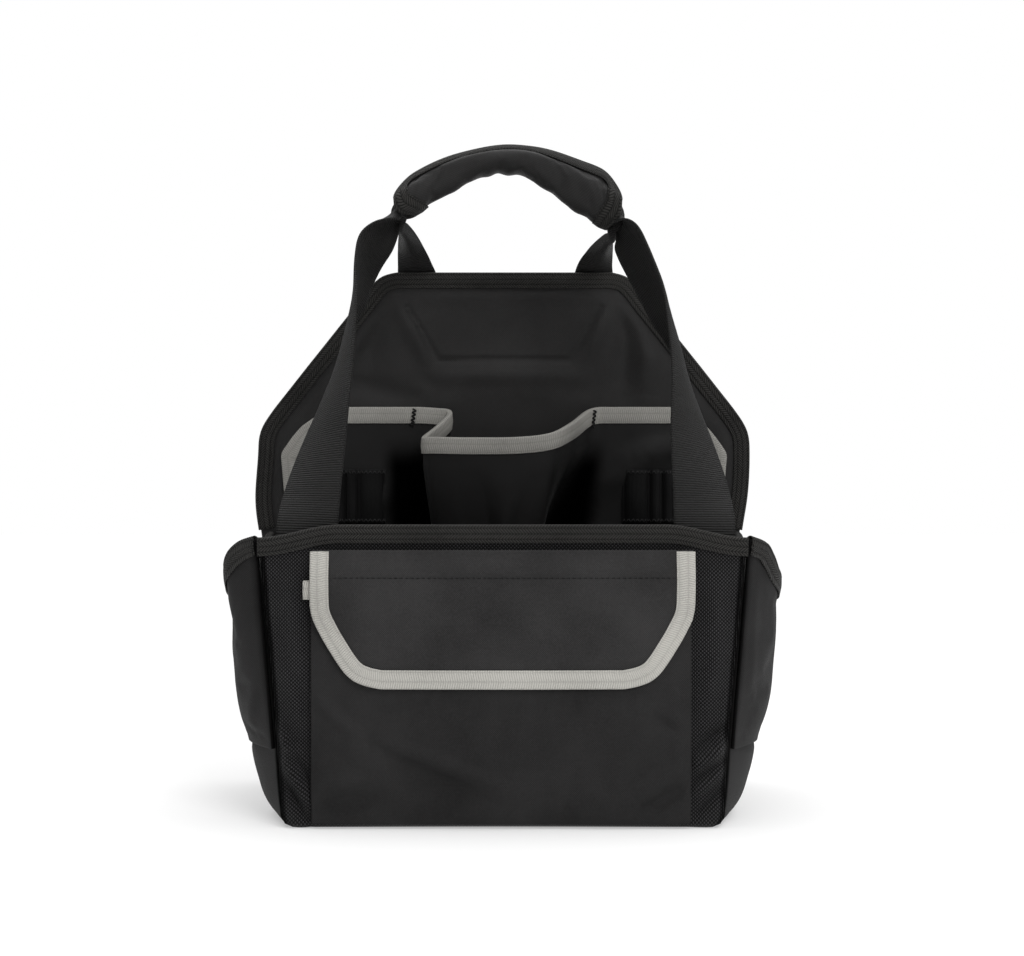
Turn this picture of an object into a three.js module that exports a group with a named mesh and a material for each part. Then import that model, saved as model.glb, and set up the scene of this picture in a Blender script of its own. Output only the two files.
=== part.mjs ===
import * as THREE from 'three';

// Open tool tote with a tall padded back wall, a flap pocket in front, a pouch on
// each side and a padded wrap round its two webbing straps.
// Millimetres, X to the right, Y to the back, Z up, floor at Z = 0.

// Cloth, padding and tape
const SEAM_GAP = 0.3;
const WALL_T = 2.4;
const POUCH_T = 2.0;
const POCKET_T = 2.0;
const PANEL_T = 1.6;
const STRAP_T = 1.6;
const STRAP_WIDTH = 38;
const BACK_T = 7;
const BACK_EDGE_T = 3.4;
const PAD_T = 2.6;
const BINDING_T = 1.1;
const BINDING_WIDTH = 10;
const TAPE_T = 0.8;
const TAPE_WIDTH = 11.4;
const ROUND_SLACK = 0.9;
const FOLD_SLACK = 0.4;

// Base and feet
const FOOT_HEIGHT = 3;
const FOOT_RADIUS = 4.7;
const FOOT_FLAT_RADIUS = 3.2;
const FOOT_X = 98;
const FOOT_FRONT_Y = -82;
const FOOT_BACK_Y = 86;
const BASE_T = 4;
const BASE_HALF_WIDTH = 137;
const BASE_FRONT_Y = -97;
const BASE_BACK_Y = 101;
const BASE_CORNER = 12;
const WALL_LIFT = 0.8;
const BASE_BOTTOM_Z = FOOT_HEIGHT + SEAM_GAP;
const WALL_BOTTOM_Z = BASE_BOTTOM_Z + BASE_T + WALL_LIFT;

// Middle planes of the front and back walls, and the run of the side walls between them
const FRONT_Y = -96;
const BACK_Y = 97.5;
const SIDE_FRONT_Y = -92.7;
const SIDE_BACK_Y = 93.4;
const SIDE_TOP_Z = 176;
const SIDE_TOP_SAG = 3;
const RIM_HALF_WIDTH = 149.5;
const RIM_CORNER_Z = 177;
const RIM_MIDDLE_Z = 185;
const RIM_DROOP_START = 100;

// The box of all pieces is centred over the origin by this shift
const CENTRE_SHIFT_Y = 4.75;

// Front wall: half width and forward bow at each height
const FRONT_ROWS = [
  { z: 7, half: 135, bow: 0 },
  { z: 54, half: 141, bow: 3 },
  { z: 100, half: 146, bow: 4 },
  { z: 186, half: 149.5, bow: 2 },
];

// Side wall: distance from the middle plane at its front edge, middle and back edge
const SIDE_ROWS = [
  { z: 7, front: 133.5, mid: 139, back: 134 },
  { z: 46, front: 138.5, mid: 158, back: 146 },
  { z: 76, front: 142, mid: 158, back: 152 },
  { z: 120, front: 145.5, mid: 155, back: 159 },
  { z: 180, front: 148.2, mid: 156, back: 166 },
];
const SIDE_CORNER_SHARE = 0.32;

// Side pouches: fullness at each height, rim height along the side, and how the
// two pouches differ in their front corner
const POUCH_BOTTOM_Z = 48;
const POUCH_CLEAR = 0.55;
const POUCH_FULLNESS = [
  { z: 48, full: 0 },
  { z: 70, full: 5 },
  { z: 90, full: 9 },
  { z: 114, full: 14 },
  { z: 148, full: 20 },
  { z: 180, full: 21 },
];
const POUCH_RIM = [
  { share: 0, z: 174 },
  { share: 0.16, z: 165 },
  { share: 0.45, z: 146 },
  { share: 0.78, z: 150 },
  { share: 1, z: 160 },
];
const POUCH_SIDES = [
  { name: 'left', side: -1, rise: 0.13 },
  { name: 'right', side: 1, rise: 0.19 },
];
const POUCH_FALL = 0.26;

// Back wall: half width at each height, with the slanted shoulders and round top corners
const BACK_ROWS = [
  { z: 7.7, half: 136 },
  { z: 60, half: 150 },
  { z: 112, half: 160 },
  { z: 176, half: 168 },
  { z: 206, half: 172.5 },
  { z: 238, half: 173.5 },
  { z: 249, half: 171.5 },
  { z: 260, half: 165 },
  { z: 280, half: 149.5 },
  { z: 294, half: 138.5 },
  { z: 299, half: 134.5 },
  { z: 304, half: 130.5 },
  { z: 331, half: 109 },
  { z: 336, half: 105 },
  { z: 341, half: 101 },
  { z: 349, half: 95 },
  { z: 354.5, half: 90 },
  { z: 358, half: 84.5 },
  { z: 360, half: 77 },
];
const QUILT_LOW_Z = 299;
const QUILT_HIGH_Z = 336;
const QUILT_LOW_HALF = 46.5;
const QUILT_HIGH_HALF = 69;
const QUILT_REACH = 5;
const QUILT_DEPTH = 3;

// Inner pocket panel: from its left edge to its right edge, the place of each fold at
// the mouth and at the bottom seam, how far it stands out, and how far its edge droops
const PANEL_BOTTOM_Z = 72;
const PANEL_TOP_Z = 264;
const PANEL_CUT_X = 124;
const PANEL_CUT_Z = 232;
const PANEL_CUT_ROUND = { across: 0.42, up: 0.56 };
const PANEL_GRID_ROWS = 6;
const PANEL_TAPE_FROM_ROW = 4;
const PANEL_ROWS = [
  { x: -158, out: 0, droop: 0, lowX: -143, lowOut: 0 },
  { x: -112, out: 0, droop: 0, lowX: -106, lowOut: 0 },
  { x: -68, out: 0, droop: 0, lowX: -66, lowOut: 0 },
  { x: -60, out: 0.6, droop: 0, lowX: -60, lowOut: 0.4 },
  { x: -46, out: 3, droop: 1, lowX: -55, lowOut: 1 },
  { x: -39, out: 6.5, droop: 2, lowX: -51, lowOut: 1.6 },
  { x: -38.6, out: 11, droop: 5, lowX: -47, lowOut: 2.2 },
  { x: -46, out: 20, droop: 13, lowX: -42, lowOut: 3 },
  { x: -54, out: 29, droop: 20, lowX: -37, lowOut: 3.6 },
  { x: -55, out: 34.5, droop: 22, lowX: -33, lowOut: 4 },
  { x: -50, out: 38.5, droop: 22, lowX: -28, lowOut: 4.4 },
  { x: -22, out: 42, droop: 22.5, lowX: -10, lowOut: 5 },
  { x: 12, out: 42, droop: 22, lowX: 14, lowOut: 5 },
  { x: 33, out: 37, droop: 19, lowX: 32, lowOut: 4 },
  { x: 48, out: 23, droop: 11, lowX: 46, lowOut: 2.4 },
  { x: 60, out: 5, droop: 2, lowX: 58, lowOut: 0.8 },
  { x: 69, out: 0, droop: 0, lowX: 67, lowOut: 0 },
  { x: 112, out: 0, droop: 0, lowX: 106, lowOut: 0 },
  { x: 158, out: 0, droop: 0, lowX: 143, lowOut: 0 },
];

// Elastic tool loops: widths of the channels from the middle of the bag outwards
const LOOP_START_X = 84;
const LOOP_WIDTHS = [19, 9, 9, 9, 9];
const LOOP_RISE = 3.6;
const LOOP_SEWN = 0.5;
const LOOP_T = 1.2;
const LOOP_STOPS = [0, 0.2, 0.8];
const LOOP_LOW_Z = 183;
const LOOP_HIGH_Z = 221;

// Front pocket, its flap and the flap's cut corners
const POCKET_LEFT_X = -117;
const POCKET_RIGHT_X = 115;
const POCKET_BOTTOM_Z = 9;
const POCKET_TOP_Z = 151;
const POCKET_FULLNESS = 3;
const POCKET_EASE = 0.1;
const POCKET_STAND_OFF = (WALL_T + POCKET_T) / 2 + TAPE_T + 2 * SEAM_GAP + POCKET_EASE;
const POCKET_TAPE_PAST_LEFT = 5;
const POCKET_TAPE_PAST_RIGHT = 1;
const FLAP_HALF = 117;
const FLAP_TOP_Z = 171;
const FLAP_ROWS = [
  { z: 88, half: 77 },
  { z: 90, half: 83 },
  { z: 97, half: 90 },
  { z: 118, half: 103.5 },
  { z: 133, half: 113 },
  { z: 142, half: 116.6 },
  { z: 171, half: 117 },
];
const FLAP_LIFT = 4.9;
const FLAP_FOLD_LEVELS = [150, 158, 165];

// Handle wrap: height of its middle line and its depth from top to bottom
const PAD_ROWS = [
  { x: -77, mid: 388, height: 25 },
  { x: -70, mid: 394, height: 25 },
  { x: -58, mid: 403, height: 25 },
  { x: -40, mid: 413.5, height: 22.5 },
  { x: -20, mid: 420.5, height: 20.5 },
  { x: 0, mid: 424, height: 20 },
  { x: 18, mid: 422, height: 22 },
  { x: 32, mid: 416, height: 28 },
  { x: 50, mid: 407, height: 33 },
  { x: 66, mid: 399, height: 35 },
  { x: 76, mid: 392, height: 31 },
  { x: 83, mid: 386, height: 29 },
];
const PAD_LEFT_X = -70;
const PAD_RIGHT_X = 76;
const PAD_HALF_THICK = 13;
const PAD_END_FLARE = 3.2;
const PAD_FLARE_START = 40;
const PAD_FLARE_RUN = 25;
const PAD_ROUND_SHARE = 0.6;
const PAD_ROUND_ANGLE = 110 * Math.PI / 180;
const PAD_TOP_HALF_GAP = 0.24;
const PAD_TOP_RISE = 1.08;
const PAD_CORNER_CUT = 9;
const PAD_CUT_SHARE = 0.55;
const PAD_BINDING_WIDTH = 8;
const PAD_GIRTH = 74;
const PAD_COLUMNS = 13;
const PAD_GRID_ROWS = 16;

// Straps: the middle of the webbing on the left half, the direction of its width,
// and how far it is curled about its length
const REAR_NEST = { radius: 10.4, below: 3.2 };
const FRONT_NEST = { radius: 7.6, below: 5.6 };
const NEST_END_ROOM = 3.4;
const GRIP_REACH = 4.5;
const FRONT_STRAP_ROWS = [
  { x: -120, y: -92, z: 126, wx: 1, wy: 0, wz: 0, curl: 0, shift: 2 },
  { x: -120.4, y: -92, z: 155, wx: 1, wy: 0, wz: 0, curl: 0, shift: 3 },
  { x: -120.5, y: -91.6, z: 184, wx: 1, wy: -0.05, wz: 0, curl: 4, shift: 4 },
  { x: -118.5, y: -83, z: 206, wx: 0.95, wy: -0.32, wz: 0, curl: 8, shift: 4.5 },
  { x: -112, y: -64, z: 248, wx: 0.64, wy: -0.77, wz: 0, curl: 14, shift: 5 },
  { x: -105, y: -49, z: 282, wx: 0.36, wy: -0.93, wz: 0, curl: 18, shift: 6 },
  { x: -100, y: -34, z: 317, wx: 0.12, wy: -0.99, wz: 0, curl: 24, shift: 7 },
  { x: -98.5, y: -20, z: 347, wx: 0, wy: -1, wz: 0, curl: 40, shift: 7 },
  { x: -95, y: -12.5, z: 365, wx: 0, wy: -0.96, wz: -0.28, curl: 72, shift: 6 },
  { x: -89.5, y: -7, z: 375.5, wx: 0, wy: -0.97, wz: -0.2, curl: 120, shift: 6 },
  { x: -84, y: -3, z: 380.8, wx: 0, wy: -0.99, wz: -0.1, curl: 205, shift: 6 },
  { x: -78.5, y: -1, z: 384.6, wx: 0, wy: -1, wz: 0, curl: 245, shift: 6 },
];
const REAR_STRAP_ROWS = [
  { x: -62, y: 102.6, z: 226, wx: -1, wy: 0, wz: 0, curl: 0, shift: 2 },
  { x: -62, y: 102.6, z: 300, wx: -1, wy: 0, wz: 0, curl: 0, shift: 2 },
  { x: -62, y: 102.6, z: 346, wx: -1, wy: 0, wz: 0, curl: 0, shift: 2 },
  { x: -62, y: 102.8, z: 359, wx: -1, wy: 0, wz: 0.06, curl: 4, shift: 2 },
  { x: -62.5, y: 98.5, z: 365.5, wx: -1, wy: 0, wz: 0.1, curl: 14, shift: 2 },
  { x: -66, y: 82, z: 368, wx: -0.98, wy: -0.05, wz: 0.1, curl: 40, shift: 3 },
  { x: -73, y: 52, z: 367.5, wx: -0.95, wy: -0.2, wz: -0.05, curl: 50, shift: 5 },
  { x: -79.5, y: 25, z: 367, wx: -0.9, wy: -0.4, wz: -0.1, curl: 50, shift: 6 },
  { x: -81.5, y: 8, z: 370, wx: -0.42, wy: -0.8, wz: -0.4, curl: 60, shift: 6 },
  { x: -78, y: 1.5, z: 378, wx: 0, wy: -0.98, wz: -0.2, curl: 112, shift: 6 },
];
const STRAP_STEPS = 2;
const STRAP_FACETS = 4;
const GRIP_STEPS = 11;

// Colours and finishes
const finish = (color, roughness, metalness = 0) =>
  new THREE.MeshStandardMaterial({ color, roughness, metalness });
const SMOOTH_CLOTH = '#26262a';
const COARSE_CLOTH = '#1c1c1f';
const BLACK_TAPE = '#161618';
const GREY_TAPE = '#bdbbb5';
const WEBBING = '#1f1f21';
const BOARD = '#121213';
const STUD = '#c8c6c2';

const bag = new THREE.Group();
bag.position.y = CENTRE_SHIFT_Y;

// Small helpers
const clamp01 = (value) => Math.min(1, Math.max(0, value));
const mix = (from, to, share) => from + (to - from) * share;
const ease = (share) => Math.sin(clamp01(share) * Math.PI / 2);
const smooth = (share) => THREE.MathUtils.smoothstep(share, 0, 1);

// One column of a table, on a smooth curve through its rows
function readTable(rows, key, at, column) {
  const last = rows.length - 1;
  let index = 0;
  while (index < last - 1 && at > rows[index + 1][key]) {
    index += 1;
  }
  const slope = (row) => {
    const before = rows[Math.max(row - 1, 0)];
    const after = rows[Math.min(row + 1, last)];
    return (after[column] - before[column]) / (after[key] - before[key]);
  };
  const from = rows[index];
  const to = rows[index + 1];
  const span = to[key] - from[key];
  const share = clamp01((at - from[key]) / span);
  const rest = 1 - share;
  return from[column] * (1 + 2 * share) * rest * rest
    + slope(index) * span * share * rest * rest
    + to[column] * (1 + 2 * rest) * share * share
    - slope(index + 1) * span * rest * share * share;
}

// Adds a closed mesh with its faces pointing out
function addSolid(name, points, faces, material) {
  let volume = 0;
  for (const [p, q, r] of faces) {
    volume += points[p].dot(new THREE.Vector3().crossVectors(points[q], points[r]));
  }
  const outward = volume < 0 ? faces.map(([p, q, r]) => [p, r, q]) : faces;
  const geometry = new THREE.BufferGeometry().setFromPoints(points);
  geometry.setIndex(outward.flat());
  geometry.computeVertexNormals();
  const mesh = new THREE.Mesh(geometry, material);
  mesh.name = name;
  bag.add(mesh);
}

// Normal of a cloth surface at a place on it
function normalAt(place, across, up) {
  const step = 0.05;
  const along = place(across + step, up).sub(place(across - step, up));
  const rise = place(across, up + step).sub(place(across, up - step));
  return along.cross(rise).normalize();
}

const quad = (p, q, r, s) => [[p, q, r], [p, r, s]];

// A cloth wall of even thickness: a grid on its middle surface, given a front and a back
function addCloth(name, { columns, rows, flat, place, thickness, material }) {
  const points = [];
  const faces = [];
  const width = columns + 1;
  const layer = width * (rows + 1);
  for (const face of [0.5, -0.5]) {
    for (let row = 0; row <= rows; row += 1) {
      for (let column = 0; column <= columns; column += 1) {
        const [across, up] = flat(column / columns, row / rows);
        const offset = normalAt(place, across, up).multiplyScalar(face * thickness(across, up));
        points.push(place(across, up).add(offset));
      }
    }
  }
  for (let row = 0; row < rows; row += 1) {
    for (let column = 0; column < columns; column += 1) {
      const corner = row * width + column;
      const loop = [corner, corner + 1, corner + width + 1, corner + width];
      faces.push(...quad(...loop));
      faces.push(...quad(...loop.map((index) => index + layer).reverse()));
    }
  }
  const border = [];
  for (let column = 0; column < columns; column += 1) {
    border.push([column + 1, column]);
    border.push([rows * width + column, rows * width + column + 1]);
  }
  for (let row = 0; row < rows; row += 1) {
    border.push([row * width, (row + 1) * width]);
    border.push([(row + 1) * width + columns, row * width + columns]);
  }
  for (const [from, to] of border) {
    faces.push(...quad(from, to, to + layer, from + layer));
  }
  addSolid(name, points, faces, material);
}

// A solid through rings of points, closed on itself or capped at both ends
function addSweep(name, { rings, loop, caps, material }) {
  const count = rings[0].length;
  const faces = [];
  const spans = loop ? rings.length : rings.length - 1;
  for (let ring = 0; ring < spans; ring += 1) {
    const near = ring * count;
    const far = ((ring + 1) % rings.length) * count;
    for (let point = 0; point < count; point += 1) {
      const next = (point + 1) % count;
      faces.push(...quad(near + point, near + next, far + next, far + point));
    }
  }
  if (!loop) {
    const end = (rings.length - 1) * count;
    for (const cap of caps) {
      faces.push(...quad(...cap.slice().reverse()));
      faces.push(...quad(...cap.map((index) => index + end)));
    }
  }
  addSolid(name, rings.flat(), faces, material);
}

// Direction into the cloth at each point of its edge, which keeps the cloth on its left
function inwardAlong(edge, loop) {
  const last = edge.length - 1;
  const leftOf = (from, to) => {
    const length = Math.hypot(to[0] - from[0], to[1] - from[1]);
    return [(from[1] - to[1]) / length, (to[0] - from[0]) / length];
  };
  return edge.map((point, index) => {
    const before = index > 0 ? edge[index - 1] : (loop ? edge[last] : null);
    const after = index < last ? edge[index + 1] : (loop ? edge[0] : null);
    const entering = before ? leftOf(before, point) : leftOf(point, after);
    const leaving = after ? leftOf(point, after) : entering;
    const sum = [entering[0] + leaving[0], entering[1] + leaving[1]];
    const scale = 2 / (sum[0] * sum[0] + sum[1] * sum[1]);
    return [sum[0] * scale, sum[1] * scale];
  });
}

// Tape folded over the edge of a cloth: a channel of two legs joined by a cap
function addBinding(name, { edge, loop = false, place, hold, slack = SEAM_GAP, tape, width, material }) {
  const inner = hold + slack;
  const outer = inner + tape;
  const cap = -slack - tape;
  const section = [
    [width, outer], [cap, outer], [cap, -outer], [width, -outer],
    [width, -inner], [-slack, -inner], [-slack, inner], [width, inner],
  ];
  const inward = inwardAlong(edge, loop);
  const rings = edge.map(([across, up], index) => section.map(([depth, lift]) => {
    const a = across + inward[index][0] * depth;
    const b = up + inward[index][1] * depth;
    return place(a, b).add(normalAt(place, a, b).multiplyScalar(lift));
  }));
  const caps = [[0, 1, 6, 7], [1, 2, 5, 6], [2, 3, 4, 5]];
  addSweep(name, { rings, loop, caps, material });
}

const spread = (count, at) => Array.from({ length: count + 1 }, (_, index) => at(index / count));

// Base board and its four metal feet
function addBase() {
  const depth = BASE_BACK_Y - BASE_FRONT_Y;
  const outline = new THREE.Shape();
  const right = BASE_HALF_WIDTH - BASE_CORNER;
  const front = BASE_FRONT_Y + BASE_CORNER;
  const back = BASE_FRONT_Y + depth - BASE_CORNER;
  outline.absarc(right, front, BASE_CORNER, -Math.PI / 2, 0);
  outline.absarc(right, back, BASE_CORNER, 0, Math.PI / 2);
  outline.absarc(-right, back, BASE_CORNER, Math.PI / 2, Math.PI);
  outline.absarc(-right, front, BASE_CORNER, Math.PI, 1.5 * Math.PI);
  const extrusion = { depth: BASE_T, bevelEnabled: false, curveSegments: 5 };
  const board = new THREE.ExtrudeGeometry(outline, extrusion);
  const base = new THREE.Mesh(board, finish(BOARD, 0.7));
  base.name = 'base_panel';
  base.position.z = BASE_BOTTOM_Z;
  bag.add(base);

  const profile = [
    new THREE.Vector2(0, 0),
    new THREE.Vector2(FOOT_FLAT_RADIUS, 0),
    new THREE.Vector2(FOOT_RADIUS, FOOT_HEIGHT * 0.4),
    new THREE.Vector2(FOOT_RADIUS, FOOT_HEIGHT),
    new THREE.Vector2(0, FOOT_HEIGHT),
  ];
  for (const [row, y] of [['front', FOOT_FRONT_Y], ['back', FOOT_BACK_Y]]) {
    for (const [side, x] of [['left', -FOOT_X], ['right', FOOT_X]]) {
      const stud = new THREE.LatheGeometry(profile, 8).rotateX(Math.PI / 2);
      const foot = new THREE.Mesh(stud, finish(STUD, 0.3, 1));
      foot.name = `foot_${row}_${side}`;
      foot.position.set(x, y, 0);
      bag.add(foot);
    }
  }
}

// Front wall: its middle surface and the height of its rim
function frontWallAt(x, z) {
  const bow = readTable(FRONT_ROWS, 'z', z, 'bow') * (1 - (x / RIM_HALF_WIDTH) ** 2);
  return new THREE.Vector3(x, FRONT_Y - bow, z);
}

function rimHeight(x) {
  const droop = smooth((Math.abs(x) - RIM_DROOP_START) / (RIM_HALF_WIDTH - RIM_DROOP_START));
  return mix(RIM_MIDDLE_Z, RIM_CORNER_Z, droop);
}

function addFrontWall() {
  addCloth('front_wall', {
    columns: 12,
    rows: 5,
    flat: (u, v) => {
      const level = mix(WALL_BOTTOM_Z, RIM_MIDDLE_Z, v);
      const x = (2 * u - 1) * readTable(FRONT_ROWS, 'z', level, 'half');
      return [x, mix(WALL_BOTTOM_Z, rimHeight(x), v)];
    },
    place: frontWallAt,
    thickness: () => WALL_T,
    material: finish(COARSE_CLOTH, 0.85),
  });
  addBinding('front_rim_binding', {
    edge: spread(12, (u) => {
      const x = mix(RIM_HALF_WIDTH, -RIM_HALF_WIDTH, u);
      return [x, rimHeight(x)];
    }),
    place: frontWallAt,
    hold: WALL_T / 2,
    tape: BINDING_T,
    width: BINDING_WIDTH,
    material: finish(BLACK_TAPE, 0.8),
  });
}

// Side wall: its middle surface, given by the depth and the height on it
const sideShare = (y) => (y - SIDE_FRONT_Y) / (SIDE_BACK_Y - SIDE_FRONT_Y);

function sideReach(y, z) {
  const share = sideShare(y);
  const front = readTable(SIDE_ROWS, 'z', z, 'front');
  const mid = readTable(SIDE_ROWS, 'z', z, 'mid');
  const back = readTable(SIDE_ROWS, 'z', z, 'back');
  const corner = mix(front, mid, ease(share / SIDE_CORNER_SHARE));
  return mix(corner, back, smooth((share - SIDE_CORNER_SHARE) / (1 - SIDE_CORNER_SHARE)));
}

const sideTop = (y) => SIDE_TOP_Z - SIDE_TOP_SAG * Math.sin(clamp01(sideShare(y)) * Math.PI);

// Pouch on a side wall: its middle surface, standing off the wall by its fullness
function pouchReach(y, z, rise) {
  const share = sideShare(y);
  const shape = ease(share / rise) * ease((1 - share) / POUCH_FALL);
  const full = Math.max(0, readTable(POUCH_FULLNESS, 'z', z, 'full'));
  return sideReach(y, z) + WALL_T / 2 + POUCH_CLEAR + POUCH_T / 2 + full * shape;
}

const pouchRim = (y) => readTable(POUCH_RIM, 'share', sideShare(y), 'z');
const SIDE_STOPS = [0, 0.04, 0.08, 0.13, 0.19, 0.27, 0.38, 0.52, 0.66, 0.78, 0.88, 0.96, 1];

function sideDepth(u) {
  return mix(SIDE_FRONT_Y, SIDE_BACK_Y, SIDE_STOPS[Math.round(u * (SIDE_STOPS.length - 1))]);
}

function addSide({ name, side, rise }) {
  const wallAt = (y, z) => new THREE.Vector3(side * sideReach(y, z), y, z);
  const pouchAt = (y, z) => new THREE.Vector3(side * pouchReach(y, z, rise), y, z);
  const edgeOf = (stops, top) => stops.map((share) => {
    const y = mix(SIDE_FRONT_Y, SIDE_BACK_Y, share);
    return [y, top(y)];
  }).reverse();
  addCloth(`side_wall_${name}`, {
    columns: SIDE_STOPS.length - 1,
    rows: 7,
    flat: (u, v) => [sideDepth(u), mix(WALL_BOTTOM_Z, sideTop(sideDepth(u)), v)],
    place: wallAt,
    thickness: () => WALL_T,
    material: finish(SMOOTH_CLOTH, 0.8),
  });
  addBinding(`side_rim_binding_${name}`, {
    edge: edgeOf(SIDE_STOPS.slice(2, -1), sideTop),
    place: wallAt,
    hold: WALL_T / 2,
    tape: BINDING_T,
    width: BINDING_WIDTH,
    material: finish(BLACK_TAPE, 0.8),
  });
  addCloth(`side_pouch_${name}`, {
    columns: SIDE_STOPS.length - 1,
    rows: 6,
    flat: (u, v) => [sideDepth(u), mix(POUCH_BOTTOM_Z, pouchRim(sideDepth(u)), v)],
    place: pouchAt,
    thickness: () => POUCH_T,
    material: finish(SMOOTH_CLOTH, 0.75),
  });
  addBinding(`side_pouch_binding_${name}`, {
    edge: edgeOf(SIDE_STOPS.slice(1, -1), pouchRim),
    place: pouchAt,
    hold: POUCH_T / 2,
    slack: ROUND_SLACK,
    tape: TAPE_T,
    width: BINDING_WIDTH,
    material: finish(BLACK_TAPE, 0.8),
  });
}

// Back wall: flat middle surface, thinner at its bound edge and along the quilting seam
const backWallAt = (x, z) => new THREE.Vector3(x, BACK_Y, z);
const backHalf = (z) => readTable(BACK_ROWS, 'z', z, 'half');
const quiltHalf = (z) => mix(QUILT_LOW_HALF, QUILT_HIGH_HALF,
  clamp01((z - QUILT_LOW_Z) / (QUILT_HIGH_Z - QUILT_LOW_Z)));

function quiltDistance(x, z) {
  const beyond = Math.max(QUILT_LOW_Z - z, z - QUILT_HIGH_Z, 0);
  const sideways = Math.abs(Math.abs(x) - quiltHalf(z));
  const outside = Math.max(0, Math.abs(x) - quiltHalf(z));
  const level = Math.min(Math.abs(z - QUILT_LOW_Z), Math.abs(z - QUILT_HIGH_Z));
  return Math.min(Math.hypot(sideways, beyond), Math.hypot(outside, level));
}

// Share of a level distance from the edge that is square to the slant of the edge
const backSquare = (z) => 1 / Math.hypot(1, (backHalf(z + 2) - backHalf(z - 2)) / 4);

function backThickness(x, z) {
  const top = BACK_ROWS[BACK_ROWS.length - 1].z;
  const toEdge = Math.min((backHalf(z) - Math.abs(x)) * backSquare(z), top - z);
  const padded = mix(BACK_EDGE_T, BACK_T, smooth((toEdge - BINDING_WIDTH - 1) / 7));
  return padded - QUILT_DEPTH * (1 - smooth(quiltDistance(x, z) / QUILT_REACH));
}

// Columns of the back wall follow its edge and the slanted sides of the quilting
function backColumns(z) {
  const half = backHalf(z);
  const seam = quiltHalf(z);
  const hem = Math.min((BINDING_WIDTH + 1) / backSquare(z), (half - seam - QUILT_REACH) * 0.8);
  const right = [
    seam / 2, seam - QUILT_REACH, seam, seam + QUILT_REACH,
    mix(seam + QUILT_REACH, half - hem, 0.6), half - hem, half,
  ];
  return [...right.map((x) => -x).reverse(), 0, ...right];
}

function addBackWall() {
  const columns = backColumns(QUILT_LOW_Z).length - 1;
  const rows = BACK_ROWS.length - 1;
  addCloth('back_wall', {
    columns,
    rows,
    flat: (u, v) => {
      const z = BACK_ROWS[Math.round(v * rows)].z;
      return [backColumns(z)[Math.round(u * columns)], z];
    },
    place: backWallAt,
    thickness: backThickness,
    material: finish(SMOOTH_CLOTH, 0.8),
  });
  const straight = (z) => z > QUILT_LOW_Z - 2 * QUILT_REACH && z < QUILT_HIGH_Z + QUILT_REACH;
  const rising = BACK_ROWS.filter(({ z }) => z > SIDE_TOP_Z && !straight(z));
  const edge = [[backHalf(SIDE_TOP_Z + 2), SIDE_TOP_Z + 2], ...rising.map(({ z, half }) => [half, z])];
  addBinding('back_wall_binding', {
    edge: [...edge, ...edge.map(([x, z]) => [-x, z]).reverse()],
    place: backWallAt,
    hold: BACK_EDGE_T / 2,
    tape: BINDING_T,
    width: BINDING_WIDTH,
    material: finish(BLACK_TAPE, 0.8),
  });
}

// Inner pocket panel: flat coordinates run along the cloth through the folds of the
// centre pocket, so each row of its table has its own distance from the first
const panelRun = [0];
for (let row = 1; row < PANEL_ROWS.length; row += 1) {
  const from = PANEL_ROWS[row - 1];
  const to = PANEL_ROWS[row];
  panelRun.push(panelRun[row - 1] + Math.hypot(to.x - from.x, to.out - from.out));
}
const PANEL_STATIONS = PANEL_ROWS.map((row, index) => ({ ...row, run: panelRun[index] }));
const PANEL_LENGTH = panelRun[panelRun.length - 1];
const PANEL_FACE_Y = BACK_Y - BACK_T / 2 - 2 * SEAM_GAP - TAPE_T - PANEL_T / 2;

function panelAt(run, level) {
  const read = (column) => readTable(PANEL_STATIONS, 'run', run, column);
  const still = (column) => Math.max(0, read(column));
  const height = (level - PANEL_BOTTOM_Z) / (PANEL_TOP_Z - PANEL_BOTTOM_Z);
  const beyond = run < 0 ? run : Math.max(0, run - PANEL_LENGTH);
  const x = mix(read('lowX'), read('x'), clamp01(height * 1.8)) + beyond;
  const out = mix(still('lowOut'), still('out'), ease(height));
  return new THREE.Vector3(x, PANEL_FACE_Y - out, level - still('droop') * smooth(height));
}

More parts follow.
